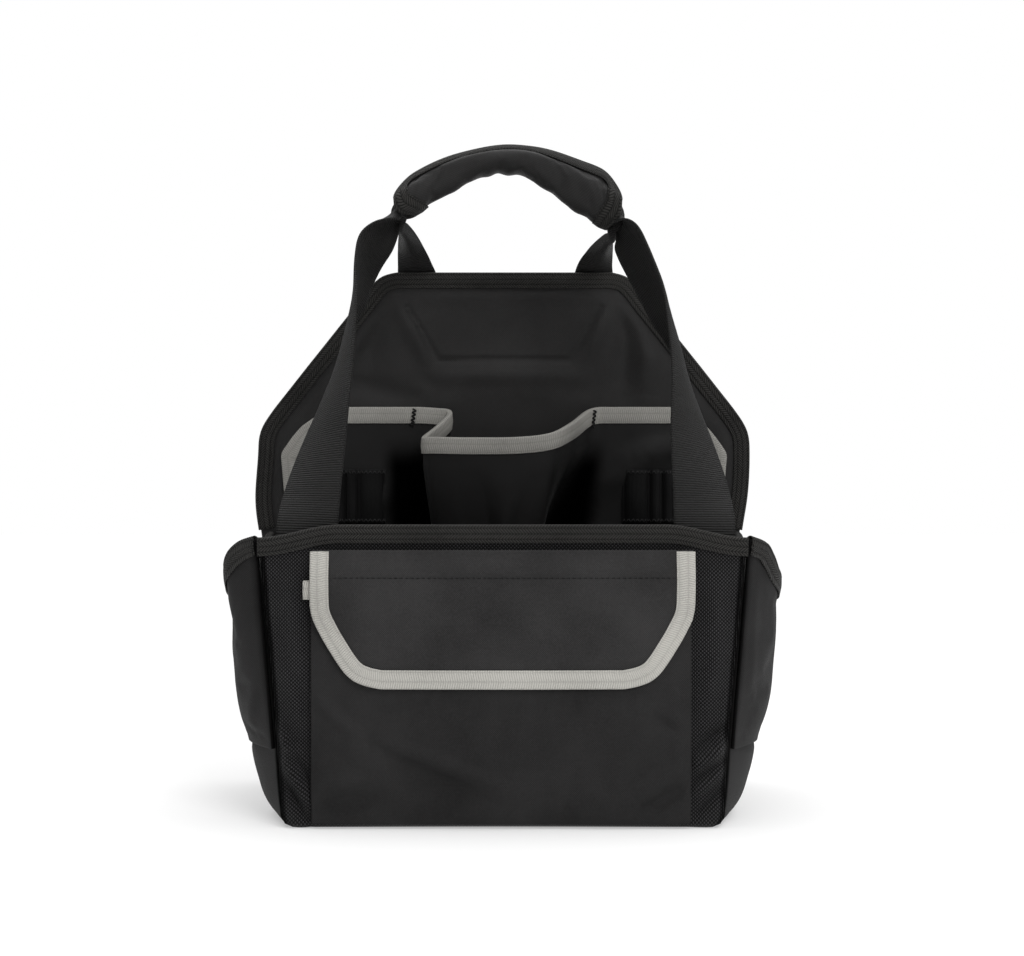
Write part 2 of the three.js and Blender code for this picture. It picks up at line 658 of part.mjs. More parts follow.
function addInnerPocket() {
  const cut = PANEL_CUT_X + PANEL_ROWS[0].x;
  const mid = [-cut * PANEL_CUT_ROUND.across, mix(PANEL_CUT_Z, PANEL_TOP_Z, PANEL_CUT_ROUND.up)];
  const sides = [];
  for (let row = PANEL_TAPE_FROM_ROW; row <= PANEL_GRID_ROWS; row += 1) {
    sides.push([0, mix(PANEL_BOTTOM_Z, PANEL_CUT_Z, row / PANEL_GRID_ROWS)]);
  }
  const edge = [...sides, mid, [-cut, PANEL_TOP_Z]];
  const top = PANEL_STATIONS.slice(1, -1).flatMap((row, index) => {
    const next = PANEL_STATIONS[index + 2];
    const between = [mix(row.run, next.run, 0.5), PANEL_TOP_Z];
    return row.out + next.out > 0 ? [[row.run, PANEL_TOP_Z], between] : [[row.run, PANEL_TOP_Z]];
  }).filter(([run]) => run > 2 - cut && run < PANEL_LENGTH + cut - 2);
  const mirrored = edge.map(([run, level]) => [PANEL_LENGTH - run, level]).reverse();
  const outline = [...edge, ...top, ...mirrored];
  const edgeHeight = (run) => {
    const inset = Math.min(run, PANEL_LENGTH - run);
    const slanted = inset < mid[0]
      ? mix(PANEL_CUT_Z, mid[1], inset / mid[0])
      : mix(mid[1], PANEL_TOP_Z, (inset - mid[0]) / (-cut - mid[0]));
    return Math.min(PANEL_TOP_Z, slanted);
  };
  const runs = [0, mid[0], -cut, ...top.map(([run]) => run)];
  runs.push(PANEL_LENGTH + cut, PANEL_LENGTH - mid[0], PANEL_LENGTH);
  addCloth('inner_pocket_panel', {
    columns: runs.length - 1,
    rows: PANEL_GRID_ROWS,
    flat: (u, v) => {
      const run = runs[Math.round(u * (runs.length - 1))];
      return [run, mix(PANEL_BOTTOM_Z, edgeHeight(run), v)];
    },
    place: panelAt,
    thickness: () => PANEL_T,
    material: finish(SMOOTH_CLOTH, 0.75),
  });
  addBinding('inner_pocket_tape', {
    edge: outline.reverse(),
    place: panelAt,
    hold: PANEL_T / 2,
    slack: FOLD_SLACK,
    tape: TAPE_T,
    width: TAPE_WIDTH,
    material: finish(GREY_TAPE, 0.85),
  });
}

// Elastic strip sewn down between its channels
function addLoops(name, side) {
  const seams = [LOOP_START_X];
  for (const width of LOOP_WIDTHS) {
    seams.push(seams[seams.length - 1] + width);
  }
  const stops = [];
  for (let channel = 0; channel < LOOP_WIDTHS.length; channel += 1) {
    for (const share of LOOP_STOPS) {
      stops.push(mix(seams[channel], seams[channel + 1], share));
    }
  }
  stops.push(seams[seams.length - 1]);
  const rise = (x) => {
    const next = seams.findIndex((seam) => seam > x);
    const last = LOOP_WIDTHS.length - 1;
    const channel = next < 0 ? last : Math.max(0, next - 1);
    const share = clamp01((x - seams[channel]) / LOOP_WIDTHS[channel]);
    return LOOP_RISE * Math.sqrt(Math.max(0, 1 - (2 * share - 1) ** 4));
  };
  const face = PANEL_FACE_Y - PANEL_T / 2 - LOOP_T / 2 - LOOP_SEWN;
  addCloth(`tool_loops_${name}`, {
    columns: stops.length - 1,
    rows: 1,
    flat: (u, v) => [stops[Math.round(u * (stops.length - 1))], mix(LOOP_LOW_Z, LOOP_HIGH_Z, v)],
    place: (x, z) => new THREE.Vector3(side * x, face - rise(x), z),
    thickness: () => LOOP_T,
    material: finish(WEBBING, 0.8),
  });
}

// Front pocket and the flap that closes it
function pocketAt(x, z) {
  const wall = frontWallAt(x, z);
  const across = clamp01((x - POCKET_LEFT_X) / (POCKET_RIGHT_X - POCKET_LEFT_X));
  const height = clamp01((z - POCKET_BOTTOM_Z) / (POCKET_TOP_Z - POCKET_BOTTOM_Z));
  const full = POCKET_FULLNESS * Math.sin(across * Math.PI) * ease(height * 3);
  wall.y -= POCKET_STAND_OFF + full;
  return wall;
}

function flapAt(x, z) {
  const onWall = frontWallAt(x, z).y - POCKET_STAND_OFF;
  const onPocket = pocketAt(x, Math.min(z, POCKET_TOP_Z)).y - FLAP_LIFT;
  const share = smooth((FLAP_TOP_Z - z) / (FLAP_TOP_Z - POCKET_TOP_Z - 2));
  return new THREE.Vector3(x, mix(onWall, onPocket, share), z);
}

function addFrontPocket() {
  addCloth('front_pocket', {
    columns: 10,
    rows: 5,
    flat: (u, v) => [mix(POCKET_LEFT_X, POCKET_RIGHT_X, u), mix(POCKET_BOTTOM_Z, POCKET_TOP_Z, v)],
    place: pocketAt,
    thickness: () => POCKET_T,
    material: finish(SMOOTH_CLOTH, 0.75),
  });
  addBinding('front_pocket_tape', {
    edge: spread(10, (u) => {
      const right = POCKET_RIGHT_X + POCKET_TAPE_PAST_RIGHT;
      const left = POCKET_LEFT_X - POCKET_TAPE_PAST_LEFT;
      return [mix(right, left, u), POCKET_TOP_Z];
    }),
    place: pocketAt,
    hold: POCKET_T / 2,
    tape: TAPE_T,
    width: TAPE_WIDTH,
    material: finish(GREY_TAPE, 0.85),
  });
  const stops = FLAP_ROWS.map(({ z }) => z);
  stops.splice(-1, 0, ...FLAP_FOLD_LEVELS);
  const flapHalf = (z) => Math.min(FLAP_HALF, readTable(FLAP_ROWS, 'z', z, 'half'));
  addCloth('front_flap', {
    columns: 8,
    rows: stops.length - 1,
    flat: (u, v) => {
      const z = stops[Math.round(v * (stops.length - 1))];
      return [(2 * u - 1) * flapHalf(z), z];
    },
    place: flapAt,
    thickness: () => POCKET_T,
    material: finish(SMOOTH_CLOTH, 0.75),
  });
  const right = stops.filter((z) => z < FLAP_TOP_Z).map((z) => [flapHalf(z), z]);
  right.push([FLAP_HALF, FLAP_TOP_Z - 1]);
  const bottom = spread(6, (u) => [mix(-0.9, 0.9, u) * FLAP_ROWS[0].half, FLAP_ROWS[0].z]);
  const left = right.map(([x, z]) => [-x, z]).reverse();
  addBinding('front_flap_tape', {
    edge: [...left, ...bottom, ...right],
    place: flapAt,
    hold: POCKET_T / 2,
    tape: TAPE_T,
    width: TAPE_WIDTH,
    material: finish(GREY_TAPE, 0.85),
  });
}

// Handle wrap: a padded sheet folded round the straps, its two edges meeting on top
const padEnd = (x) => smooth((Math.abs(x) - PAD_FLARE_START) / PAD_FLARE_RUN);
const padDrop = (x) => readTable(PAD_ROWS, 'x', x, 'height') / 2 - PAD_T * 0.6;
const padMiddle = (x) => readTable(PAD_ROWS, 'x', x, 'mid');

function padAt(x, girth) {
  const share = Math.abs(girth) / (PAD_GIRTH / 2);
  const side = Math.sign(girth);
  const angle = Math.min(share / PAD_ROUND_SHARE, 1) * PAD_ROUND_ANGLE;
  const rising = (share - PAD_ROUND_SHARE) / (1 - PAD_ROUND_SHARE);
  const straight = Math.max(0, rising);
  const out = mix(Math.sin(angle), PAD_TOP_HALF_GAP, straight);
  const up = mix(-Math.cos(angle), PAD_TOP_RISE, straight);
  const thick = PAD_HALF_THICK + PAD_END_FLARE * padEnd(x);
  return new THREE.Vector3(x, side * out * thick, padMiddle(x) + up * padDrop(x));
}

// End of the wrap at a place round it, cut back at the corners of its top edges
function padEndAt(side, girth) {
  const share = Math.abs(girth) / (PAD_GIRTH / 2);
  const cut = PAD_CORNER_CUT * smooth((share - PAD_CUT_SHARE) / (1 - PAD_CUT_SHARE));
  return side < 0 ? PAD_LEFT_X + cut : PAD_RIGHT_X - cut;
}

function addHandlePad() {
  const girths = spread(PAD_GRID_ROWS, (v) => mix(-PAD_GIRTH / 2, PAD_GIRTH / 2, v));
  addCloth('handle_pad', {
    columns: PAD_COLUMNS,
    rows: girths.length - 1,
    flat: (u, v) => {
      const girth = girths[Math.round(v * (girths.length - 1))];
      return [mix(padEndAt(-1, girth), padEndAt(1, girth), u), girth];
    },
    place: padAt,
    thickness: () => PAD_T,
    material: finish(SMOOTH_CLOTH, 0.7),
  });
  const rightEnd = girths.map((girth) => [padEndAt(1, girth), girth]);
  const leftEnd = girths.map((girth) => [padEndAt(-1, girth), girth]).reverse();
  const between = (from, to, girth) => {
    const stops = spread(PAD_COLUMNS, (u) => [mix(from[0], to[0], u), girth]);
    return stops.slice(1, -1);
  };
  const topBack = between(rightEnd[rightEnd.length - 1], leftEnd[0], PAD_GIRTH / 2);
  const topFront = between(leftEnd[leftEnd.length - 1], rightEnd[0], -PAD_GIRTH / 2);
  addBinding('handle_pad_binding', {
    edge: [...rightEnd, ...topBack, ...leftEnd, ...topFront],
    loop: true,
    place: padAt,
    hold: PAD_T / 2,
    slack: ROUND_SLACK,
    tape: TAPE_T,
    width: PAD_BINDING_WIDTH,
    material: finish(BLACK_TAPE, 0.8),
  });
}

// Stations of a strap: its free run on the left, the gripped run in the wrap, and the
// free run again on the right
function strapStations(rows, nest) {
  const vector = (row, keys) => new THREE.Vector3(...keys.map((key) => row[key]));
  const grip = spread(GRIP_STEPS, (u) => {
    const x = mix(PAD_LEFT_X - GRIP_REACH, PAD_RIGHT_X + GRIP_REACH, u);
    const drop = padDrop(x) - nest.below - NEST_END_ROOM * padEnd(x);
    return {
      at: new THREE.Vector3(x, 0, padMiddle(x) - drop),
      wide: new THREE.Vector3(0, -1, 0),
      bend: STRAP_WIDTH / nest.radius,
      squash: drop / nest.radius,
      grip: 1,
    };
  });
  const freeRun = (mirror, start) => {
    const keys = [...rows.map((row) => vector(row, ['x', 'y', 'z'])), start.at.clone()];
    rows.forEach((row, index) => keys[index].setX(mirror > 0 ? row.x : row.shift - row.x));
    const route = new THREE.CatmullRomCurve3(keys, false, 'centripetal');
    const stations = [];
    const count = rows.length * STRAP_STEPS;
    for (let step = 0; step < count; step += 1) {
      const place = step / STRAP_STEPS;
      const index = Math.floor(place);
      const share = place - index;
      const from = rows[index];
      const to = rows[index + 1];
      const wide = vector(from, ['wx', 'wy', 'wz']);
      wide.lerp(to ? vector(to, ['wx', 'wy', 'wz']) : new THREE.Vector3(0, -1, 0), share);
      wide.setX(wide.x * mirror);
      const curl = THREE.MathUtils.degToRad(mix(from.curl, to ? to.curl : 0, share));
      stations.push({
        at: route.getPoint(place / rows.length),
        wide: wide.normalize(),
        bend: to ? curl : mix(THREE.MathUtils.degToRad(from.curl), start.bend, share),
        squash: to ? 1 : mix(1, start.squash, share),
        grip: to ? 0 : share,
      });
    }
    return stations;
  };
  const left = freeRun(1, grip[0]);
  const right = freeRun(-1, grip[grip.length - 1]);
  return [...left, ...grip, ...right.reverse()];
}

function addStrap(name, rows, nest) {
  const stations = strapStations(rows, nest);
  const upright = new THREE.Vector3(0, 0, 1);
  const rings = stations.map((station, index) => {
    const before = stations[Math.max(index - 1, 0)].at;
    const after = stations[Math.min(index + 1, stations.length - 1)].at;
    const along = after.clone().sub(before).normalize();
    const face = station.wide.clone().cross(along).normalize();
    face.lerp(upright, station.grip).normalize();
    const wide = station.wide.clone();
    if (station.grip < 1) {
      wide.addScaledVector(along, -wide.dot(along) * (1 - station.grip)).normalize();
    }
    const radius = STRAP_WIDTH / Math.max(station.bend, 0.02);
    const point = (share, lift) => {
      const angle = (share - 0.5) * STRAP_WIDTH / radius;
      const out = (radius - lift) * Math.sin(angle);
      const up = station.squash * radius * (1 - Math.cos(angle)) + lift * Math.cos(angle);
      return station.at.clone().addScaledVector(wide, out).addScaledVector(face, up);
    };
    const top = spread(STRAP_FACETS, (share) => point(share, STRAP_T / 2));
    const under = spread(STRAP_FACETS, (share) => point(1 - share, -STRAP_T / 2));
    return [...top, ...under];
  });
  const last = 2 * STRAP_FACETS + 1;
  const caps = spread(STRAP_FACETS - 1, (share) => {
    const facet = Math.round(share * (STRAP_FACETS - 1));
    return [facet, facet + 1, last - 1 - facet, last - facet];
  });
  addSweep(name, { rings, loop: false, caps, material: finish(WEBBING, 0.75) });
}

addBase();
addFrontWall();
POUCH_SIDES.forEach(addSide);
addBackWall();
addInnerPocket();
addLoops('left', -1);
addLoops('right', 1);
addFrontPocket();
addHandlePad();
addStrap('front_strap', FRONT_STRAP_ROWS, FRONT_NEST);
addStrap('rear_strap', REAR_STRAP_ROWS, REAR_NEST);

export default bag;
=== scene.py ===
import math

import bmesh
import bpy
import numpy as np
from bpy.props import FloatProperty, FloatVectorProperty, PointerProperty
from mathutils import Matrix, Vector


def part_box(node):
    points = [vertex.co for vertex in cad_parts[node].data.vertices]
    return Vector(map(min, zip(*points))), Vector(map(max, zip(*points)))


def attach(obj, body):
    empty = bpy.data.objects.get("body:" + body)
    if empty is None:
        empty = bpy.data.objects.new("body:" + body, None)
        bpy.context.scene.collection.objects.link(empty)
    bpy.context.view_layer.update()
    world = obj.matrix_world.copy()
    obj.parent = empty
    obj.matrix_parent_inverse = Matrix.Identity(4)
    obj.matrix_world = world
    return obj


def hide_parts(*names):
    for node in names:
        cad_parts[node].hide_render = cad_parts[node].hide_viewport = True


bl_info = {
    "name": "Tool bag",
    "version": (1, 0, 0),
    "blender": (4, 5, 0),
    "location": "3D View > Sidebar > Tool bag",
    "description": "Dresses the solids of an open tool bag in cloth, tape, webbing and padding",
    "category": "Add Mesh",
}

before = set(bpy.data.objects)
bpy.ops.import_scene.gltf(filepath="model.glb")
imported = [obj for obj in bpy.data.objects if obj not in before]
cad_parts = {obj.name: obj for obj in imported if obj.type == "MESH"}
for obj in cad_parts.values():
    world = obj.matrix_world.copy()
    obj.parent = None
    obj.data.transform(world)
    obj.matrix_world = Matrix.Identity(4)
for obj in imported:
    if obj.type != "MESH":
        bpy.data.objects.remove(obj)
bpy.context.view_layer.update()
MM = 0.001

# Tables are in millimetres from the bag's own middle plane, which SHIFT_Y carries to the frame's
BASE_FRONT_Y = -97.0
BASE_BACK_Y = 101.0
SHIFT_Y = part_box("base_panel")[0].y / MM - BASE_FRONT_Y


def table(columns, *rows):
    """Rows of numbers as one array for each named column"""
    return {name: np.array(values, float) for name, values in zip(columns.split(), zip(*rows))}


# Base, feet and the planes of the walls
FOOT_RADIUS = 4.7
FOOT_HEIGHT = 3.0
FOOT_SPOTS = {
    "front_left": (-98, -82), "front_right": (98, -82),
    "back_left": (-98, 86), "back_right": (98, 86),
}
FOOT_PROFILE = ((0, 0), (3.2, 0), (4.1, 0.35), (4.6, 1.0), (FOOT_RADIUS, 1.8), (FOOT_RADIUS, FOOT_HEIGHT))
BASE_HALF_WIDTH = 131.0
BASE_BOTTOM_Z = 3.3
BASE_THICK = 4.0
BASE_INSET = 3.5
BASE_CORNER = 8.0
BASE_EDGE_ROUND = 1.5
WALL_BOTTOM_Z = 1.4
FRONT_Y = -96.0
BACK_Y = 97.5
SIDE_FRONT_Y = -92.7
SIDE_BACK_Y = 96.4
SIDE_TOP_Z = 176.0
SIDE_TOP_SAG = 3.0
RIM_HALF_WIDTH = 150.6
RIM_CORNER_Z = 177.0
RIM_MIDDLE_Z = 185.0
RIM_DROOP_START = 100.0
SEAM_GAP = 0.3
# Painted shade along the side seams of the walls and pouches: its width, its start from the edge and its
# strength on the sides
SEAM_SHADE = 2.6
SEAM_EDGE = 0.6
SIDE_SEAM_PAINTED_SHADE = 0.8
SIDE_RIM_SHARES = (0.96, 0.03)

FRONT_ROWS = table(
    "z half bow",
    (1.4, 129, -4.4), (2, 132, -1.8), (4.5, 134.4, -0.3), (14, 135.8, 0.6), (54, 138.2, 3), (100, 141.8, 4),
    (140, 145.4, 3.4), (186, 149, 2),
)
SIDE_ROWS = table(
    "z front mid back",
    (1.4, 127, 127, 125), (4, 134, 141.5, 131), (10, 135.4, 150.6, 134.7), (26, 137, 157, 138.9),
    (41, 138, 160.6, 142.9), (48, 138.4, 160.2, 144.8), (76, 140.6, 160.5, 151), (120, 144.4, 155, 158.6),
    (180, 149, 156, 166),
)
SIDE_CORNER_SHARE = 0.32
SIDES = {"left": -1, "right": 1}
POUCH_BOTTOM_Z = 48.0
POUCH_CLEAR = 0.55
POUCH_RISE = {"left": 0.13, "right": 0.19}
POUCH_FALL = 0.26
POUCH_MOUTH_SHARES = (0.97, 0.003)
POUCH_HOLD = 0.06
POUCH_FULLNESS = table("z full", (48, 0), (70, 5), (90, 9), (114, 13.4), (148, 17.8), (180, 18.4))
POUCH_RIMS = {
    "left": table(
        "share z", (0, 178), (0.043, 174.6), (0.085, 168.5), (0.13, 160.5), (0.24, 152), (0.45, 146),
        (0.78, 150), (1, 160)),
    "right": table(
        "share z", (0, 178), (0.067, 173), (0.1, 166), (0.14, 157), (0.24, 149), (0.45, 146), (0.78, 150),
        (1, 160)),
}
BACK_ROWS = table(
    "z half",
    (2.2, 129), (4.5, 133.4), (9, 136.4), (60, 150), (112, 160), (176, 168), (206, 172.5), (238, 173.5),
    (249, 171.5), (260, 165), (280, 149.5), (294, 138.5), (299, 134.5), (304, 130.5), (331, 109), (336, 105),
    (341, 101), (349, 95), (354.5, 90), (358, 84.5), (360, 77),
)
BACK_THICK = 7.0
BACK_EDGE_THICK = 3.4
BACK_EDGE_SEAM = 9.0
BACK_GRID_SHARE = 0.45
BACK_GRID_Z = 245.0
BACK_CORNER_Z = 355.0
BACK_LEAN = 5.0
LEAN_TOP_Z = 238.0
LEAN_FADE_Z = 55.0
LEAN_START_X = 110.0
LEAN_FADE_X = 40.0
QUILT_LOW_Z = 299.0
QUILT_HIGH_Z = 336.0
QUILT_LOW_HALF = 46.5
QUILT_HIGH_HALF = 69.0
QUILT_SEAM_DEPTH = 1.5
QUILT_SEAM_WIDTH = 4.0
GREY_TAPE_THICK = 0.8
PANEL_HALF_THICK = 0.8
PANEL_SIDE_Z = 178.0
PANEL_SPREAD = 1.12
PANEL_BOTTOM_Z = 72.0
PANEL_TOP_Z = 264.0
PANEL_CUT_X = 124.0
PANEL_CUT_Z = 232.0
PANEL_CUT_ROUND = (0.42, 0.56)
PANEL_ROWS = table(
    "x out droop lowX lowOut tuck",
    (-158, 0, 0, -143, 0, 0), (-112, 0, 0, -106, 0, 0), (-68, 0, 0, -66, 0, 0), (-60, 0.6, 0, -60, 0.4, 0),
    (-46, 3, 1, -55, 1, 0), (-39, 6.5, 2, -51, 1.6, 0.5), (-38.6, 11, 5, -47, 2.2, 1),
    (-46, 20, 13, -42, 3, 1), (-54, 29, 20, -37, 3.6, 0.4), (-55, 34.5, 22, -33, 4, 0),
    (-50, 38.5, 22, -28, 4.4, 0),
    (-22, 42, 22.5, -12, 5, 0), (12, 42, 22, 2, 5, 0), (33, 37, 19, 11, 4.6, 0), (48, 23, 11, -22, 2.6, 1),
    (60, 5, 2, 8, 0.8, 1), (69, 0, 0, 44, 0, 0), (112, 0, 0, 98, 0, 0), (158, 0, 0, 143, 0, 0),
)
# Pleats beside the middle pocket, where painted shade darkens the panel
PLEAT_LEFT = (2, 8)
PLEAT_RIGHT = (13, 16)
PLEAT_TOP_Z = 248.0
PLEAT_FADE = {"left": (22.0, 14.0), "right": (8.0, 12.0), "crease": 3.0, "top": 26.0}
TACK_INSET_LEFT = 94.0
TACK_INSET_RIGHT = 96.5
TACK_HEIGHT = 12.0
LOOP_START_X = 84.0
LOOP_WIDTHS = (19, 9, 9, 9, 9)
LOOP_RISE = 3.6
LOOP_CLEAR = 0.5
LOOP_SEAM_SHARE = 0.1
ELASTIC_HALF_THICK = 0.6
LOOP_LOW_Z = 183.0
LOOP_HIGH_Z = 221.0
POCKET_LEFT_X = -117.0
POCKET_RIGHT_X = 115.0
POCKET_BOTTOM_Z = 3.2
POCKET_TOP_Z = 151.0
POCKET_FULLNESS = 3.0
POCKET_STAND_OFF = 3.7
POCKET_LOW_RISE = 7.0
POCKET_MOUTH_SHARE = 0.35
POCKET_MOUTH_RISE = 2.5
FLAP_HALF = 117.0
FLAP_TOP_Z = 171.0
FLAP_LIFT = 3.6
FLAP_TURN = 2.0
FLAP_STAND_OFF = 4.8
FLAP_SEAM_Z = 154.0
FLAP_SEAM_HALF = 107.0
FLAP_BOTTOM_Z = 88.0
FLAP_CURVE_Z = 98.0
FLAP_ROWS = table(
    "z half", (88, 74), (89.6, 82), (92.5, 89.5), (98, 95.8), (112, 105.2), (121, 110.4), (130, 114.6),
    (138, 116), (171, 116.4),
)
PAD_ROWS = table(
    "x mid height",
    (-77, 388, 25), (-70, 394, 25), (-58, 403, 25), (-40, 413.5, 22.5), (-20, 420.5, 20.5),
    (0, 424, 20), (18, 422, 22), (32, 416, 28), (50, 407, 33), (66, 399, 35), (76, 392, 31),
    (83, 386, 29),
)
PAD_LEFT_X = -70.0
PAD_RIGHT_X = 76.0
PAD_HALF_THICK = 13.0
PAD_END_START = 40.0
PAD_END_RUN = 25.0
PAD_TAPE_WIDTH = 8.0
PAD_TAPE_THICK = 0.8
PAD_END_FLARE = 3.2
PAD_ROUND_SHARE = 0.6
PAD_ROUND_ANGLE = math.radians(110)
PAD_TOP_HALF_GAP = 0.24
PAD_TOP_RISE = 1.08
PAD_CORNER_CUT = 13.0
PAD_CUT_SHARE = 0.64
PAD_LOW_CUT_LEFT = 11.0
PAD_LOW_CUT_RIGHT = 8.0
PAD_LOW_CUT_SHARE = 0.5
PAD_GIRTH = 74.0
PAD_BODY = 2.6
PAD_BODY_SHARE = 0.6
REAR_NEST = {"radius": 10.4, "below": 2.8, "reach": -3, "open": 1}
FRONT_NEST = {"radius": 7.4, "squash": 0.26, "least": 0.6, "share": 4.5, "reach": -3, "open": -1}
NEST_END_ROOM_LEFT = 3.4
NEST_END_ROOM_RIGHT = 1.4
STRAP_COLUMNS = "x y z wx wy wz curl squash"
FRONT_STRAP_LEFT = table(
    STRAP_COLUMNS,
    (-120, -92, 126, 1, 0, 0, 0, 1), (-120.4, -92, 155, 1, 0, 0, 0, 1),
    (-120.5, -91.6, 184, 1, -0.05, 0, -2, 1), (-118.5, -83, 206, 0.95, -0.32, 0, -6, 1),
    (-111.5, -64, 248, 0.64, -0.77, 0, -14, 1), (-105.5, -49, 282, 0.4, -0.92, 0, -28, 1),
    (-100.4, -37, 314, 0.14, -0.99, 0, -40, 1), (-96.2, -28, 334, -0.14, -0.99, 0, -40, 1),
    (-94, -20, 350, -0.26, -0.96, 0.03, -40, 1), (-89.8, -14, 365, -0.46, -0.88, 0.06, -50, 1),
    (-84.5, -10, 374.5, -0.46, -0.88, 0.06, -90, 0.9), (-79, -6, 382.6, -0.3, -0.95, 0.05, -180, 0.75),
    (-74, -3, 389, -0.05, -1, 0.05, -240, 0.6),
)
FRONT_STRAP_RIGHT = table(
    STRAP_COLUMNS,
    (122, -92, 126, -1, 0, 0, 0, 1), (123.4, -92, 155, -1, 0, 0, 0, 1),
    (124.5, -91.6, 184, -1, -0.05, 0, -2, 1), (123.5, -83, 206, -0.95, -0.32, 0, -6, 1),
    (119, -64, 248, -0.62, -0.78, 0, -14, 1), (116, -50, 282, -0.3, -0.95, 0, -36, 1),
    (112.6, -42, 302, -0.07, -1, 0, -60, 1), (106.4, -33, 321, 0.22, -0.97, 0, -50, 1),
    (101, -25, 334.5, 0.34, -0.94, 0.03, -45, 1), (94.8, -19, 349, 0.4, -0.92, 0.05, -45, 1),
    (89.2, -14, 363, 0.43, -0.9, 0.06, -55, 1), (86, -10, 373, 0.4, -0.91, 0.06, -90, 0.9),
    (83.4, -6, 380.6, 0.25, -0.96, 0.05, -180, 0.75), (79, -3, 386.6, 0.05, -1, 0.05, -240, 0.6),
)
REAR_STRAP_LEFT = table(
    STRAP_COLUMNS + " pinch",
    (-62, 102.6, 226, -1, 0, 0, 0, 1, 1), (-62, 102.6, 300, -1, 0, 0, 0, 1, 1),
    (-62, 102.6, 346, -1, 0, 0, 0, 1, 0.94), (-62.4, 102.8, 359, -1, 0, 0.04, 8, 1, 0.74),
    (-63.8, 97, 366, -1, 0, 0.04, 24, 1, 0.64), (-66, 88, 373.5, -1, 0, 0, 80, 0.8, 0.5),
    (-67.6, 66, 379.5, -1, 0, 0, 160, 0.6, 0.36), (-68.8, 36, 381.5, -1, 0, 0, 220, 0.5, 0.28),
    (-69.6, 12, 381.5, -1, 0, 0, 250, 0.5, 0.24),
)
REAR_STRAP_RIGHT = table(
    STRAP_COLUMNS + " pinch",
    (64, 102.6, 226, 1, 0, 0, 0, 1, 1), (64, 102.6, 300, 1, 0, 0, 0, 1, 1),
    (64, 102.6, 346, 1, 0, 0, 0, 1, 0.94), (64.2, 102.8, 359, 1, 0, 0.04, 8, 1, 0.74),
    (65, 97, 365, 1, 0, 0.04, 24, 1, 0.66), (67.6, 88, 370, 1, 0, 0, 80, 0.8, 0.52),
    (70.2, 66, 373.5, 1, 0, 0, 160, 0.6, 0.38), (72, 36, 374.5, 1, 0, 0, 220, 0.5, 0.28),
    (73.2, 12, 374.5, 1, 0, 0, 250, 0.5, 0.24),
)

# Cloth, tape and thread
CLOTH_QUALITY = 5
CLOTH_MASS = 0.2
SETTLE_FRAMES = 14
FOLD_FADE = 0.12
TAPE_LEG_STEPS = 13
TAPE_FOLD_STEPS = 9
TAPE_FOLD_ROOM = 0.35
TAPE_PILLOW = 0.4
STRAP_FACETS = 16
STRAP_LEAST_BEND = 0.02
STITCH_GAP = 0.8
STITCH_OVERLAP = 1.1
STITCH_FLATNESS = 0.8
SEAM_THREAD = 0.6
LOOP_THREAD = 0.7
TACK_THREAD = 1.5

# Light and finishes
FLOOR_REACH = 6.0
SUN_SPREAD = math.radians(84)
SUN_TURN = (math.radians(-9), math.radians(1), 0)
FRONT_LIGHT_SPOT = (0.7, -1.8, 1.3)
FRONT_LIGHT_AIM = (0, 0, 0.25)
FRONT_LIGHT_SIZE = 0.9
SENSOR_WIDTH = 36
TONE_GAIN = 2.5
TONE_BASE = -0.25
ROUGH_SPREAD = 0.08
FUZZ_RELIEF = 0.3
# Painted light: the flap takes a lighter copy of the smooth cloth
FLAP_PAINTED_LIGHT = 1.5
# Painted shade: the tape inside the bag takes a darker copy of the grey tape
INNER_TAPE_PAINTED_SHADE = 0.6
LOOP_THREAD_LIGHTER = 12

# Sockets of a colour mix node
MIX_A, MIX_B, MIX_OUT = 6, 7, 2

# Soft folds in the cloth: each runs from one place on it to another, with its half width and height
FOLD_COLUMNS = "a0 b0 a1 b1 width height"
FRONT_FOLDS = table(
    FOLD_COLUMNS,
    (-141, 66, -122, 40, 4, 5.0), (-136, 46, -118, 14, 3.6, 4.6), (-134, 62, -118, 28, 2.6, -3.0),
    (-133, 30, -120, 6, 3, -3.4), (142, 66, 118, 50, 3.4, -3.4), (141, 54, 117, 38, 4, 5.4),
    (138, 40, 118, 22, 3, 4.0), (136, 26, 120, 10, 2.6, -3.0), (-130, 158, -122, 80, 6, 2.0),
    (132, 164, 126, 80, 7, 2.4), (134, 110, 122, 70, 5, 1.6), (-134, 100, -122, 60, 4, 1.6),
)
POCKET_FOLDS = table(
    FOLD_COLUMNS,
    (-110, 14, -80, 18, 6, -6.0), (-114, 29, -82, 31, 4, 3.2), (86, 11, 112, 26, 4.5, -5.4),
    (84, 24, 110, 38, 4, 3.2), (-114, 80, -90, 60, 4, 3.2), (-76, 56, -2, 28, 4.2, 4.2),
    (-72, 44, 2, 16, 6, -2.2), (20, 70, 96, 78, 12, 2.0), (104, 96, 110, 40, 6, 2.2),
    (-106, 60, -112, 34, 5, 2.0), (40, 20, 80, 10, 8, 2.0), (92, 70, 110, 58, 3.4, -2.6),
)
FLAP_FOLDS = table(
    FOLD_COLUMNS,
    (-130, 154, 130, 154, 2.0, -0.5), (60, 110, 96, 146, 12, -0.9), (-80, 112, 20, 118, 14, 0.8),
    (-20, 140, 40, 128, 12, 0.6),
)
POUCH_FOLDS = {
    "left": table(
        FOLD_COLUMNS,
        (-92, 52, -60, 58, 3.5, -1.6), (-88, 92, -70, 60, 5, 1.2), (-40, 120, -20, 70, 9, 1.5),
        (20, 128, 30, 66, 10, -1.4), (60, 120, 40, 60, 8, 1.2)),
    "right": table(
        FOLD_COLUMNS,
        (-92, 56, -62, 50, 3.5, -1.6), (-86, 150, -82, 84, 3.2, 1.0), (-44, 122, -26, 74, 9, 1.3),
        (14, 126, 24, 64, 10, -1.2), (58, 124, 44, 62, 8, 1.0)),
}
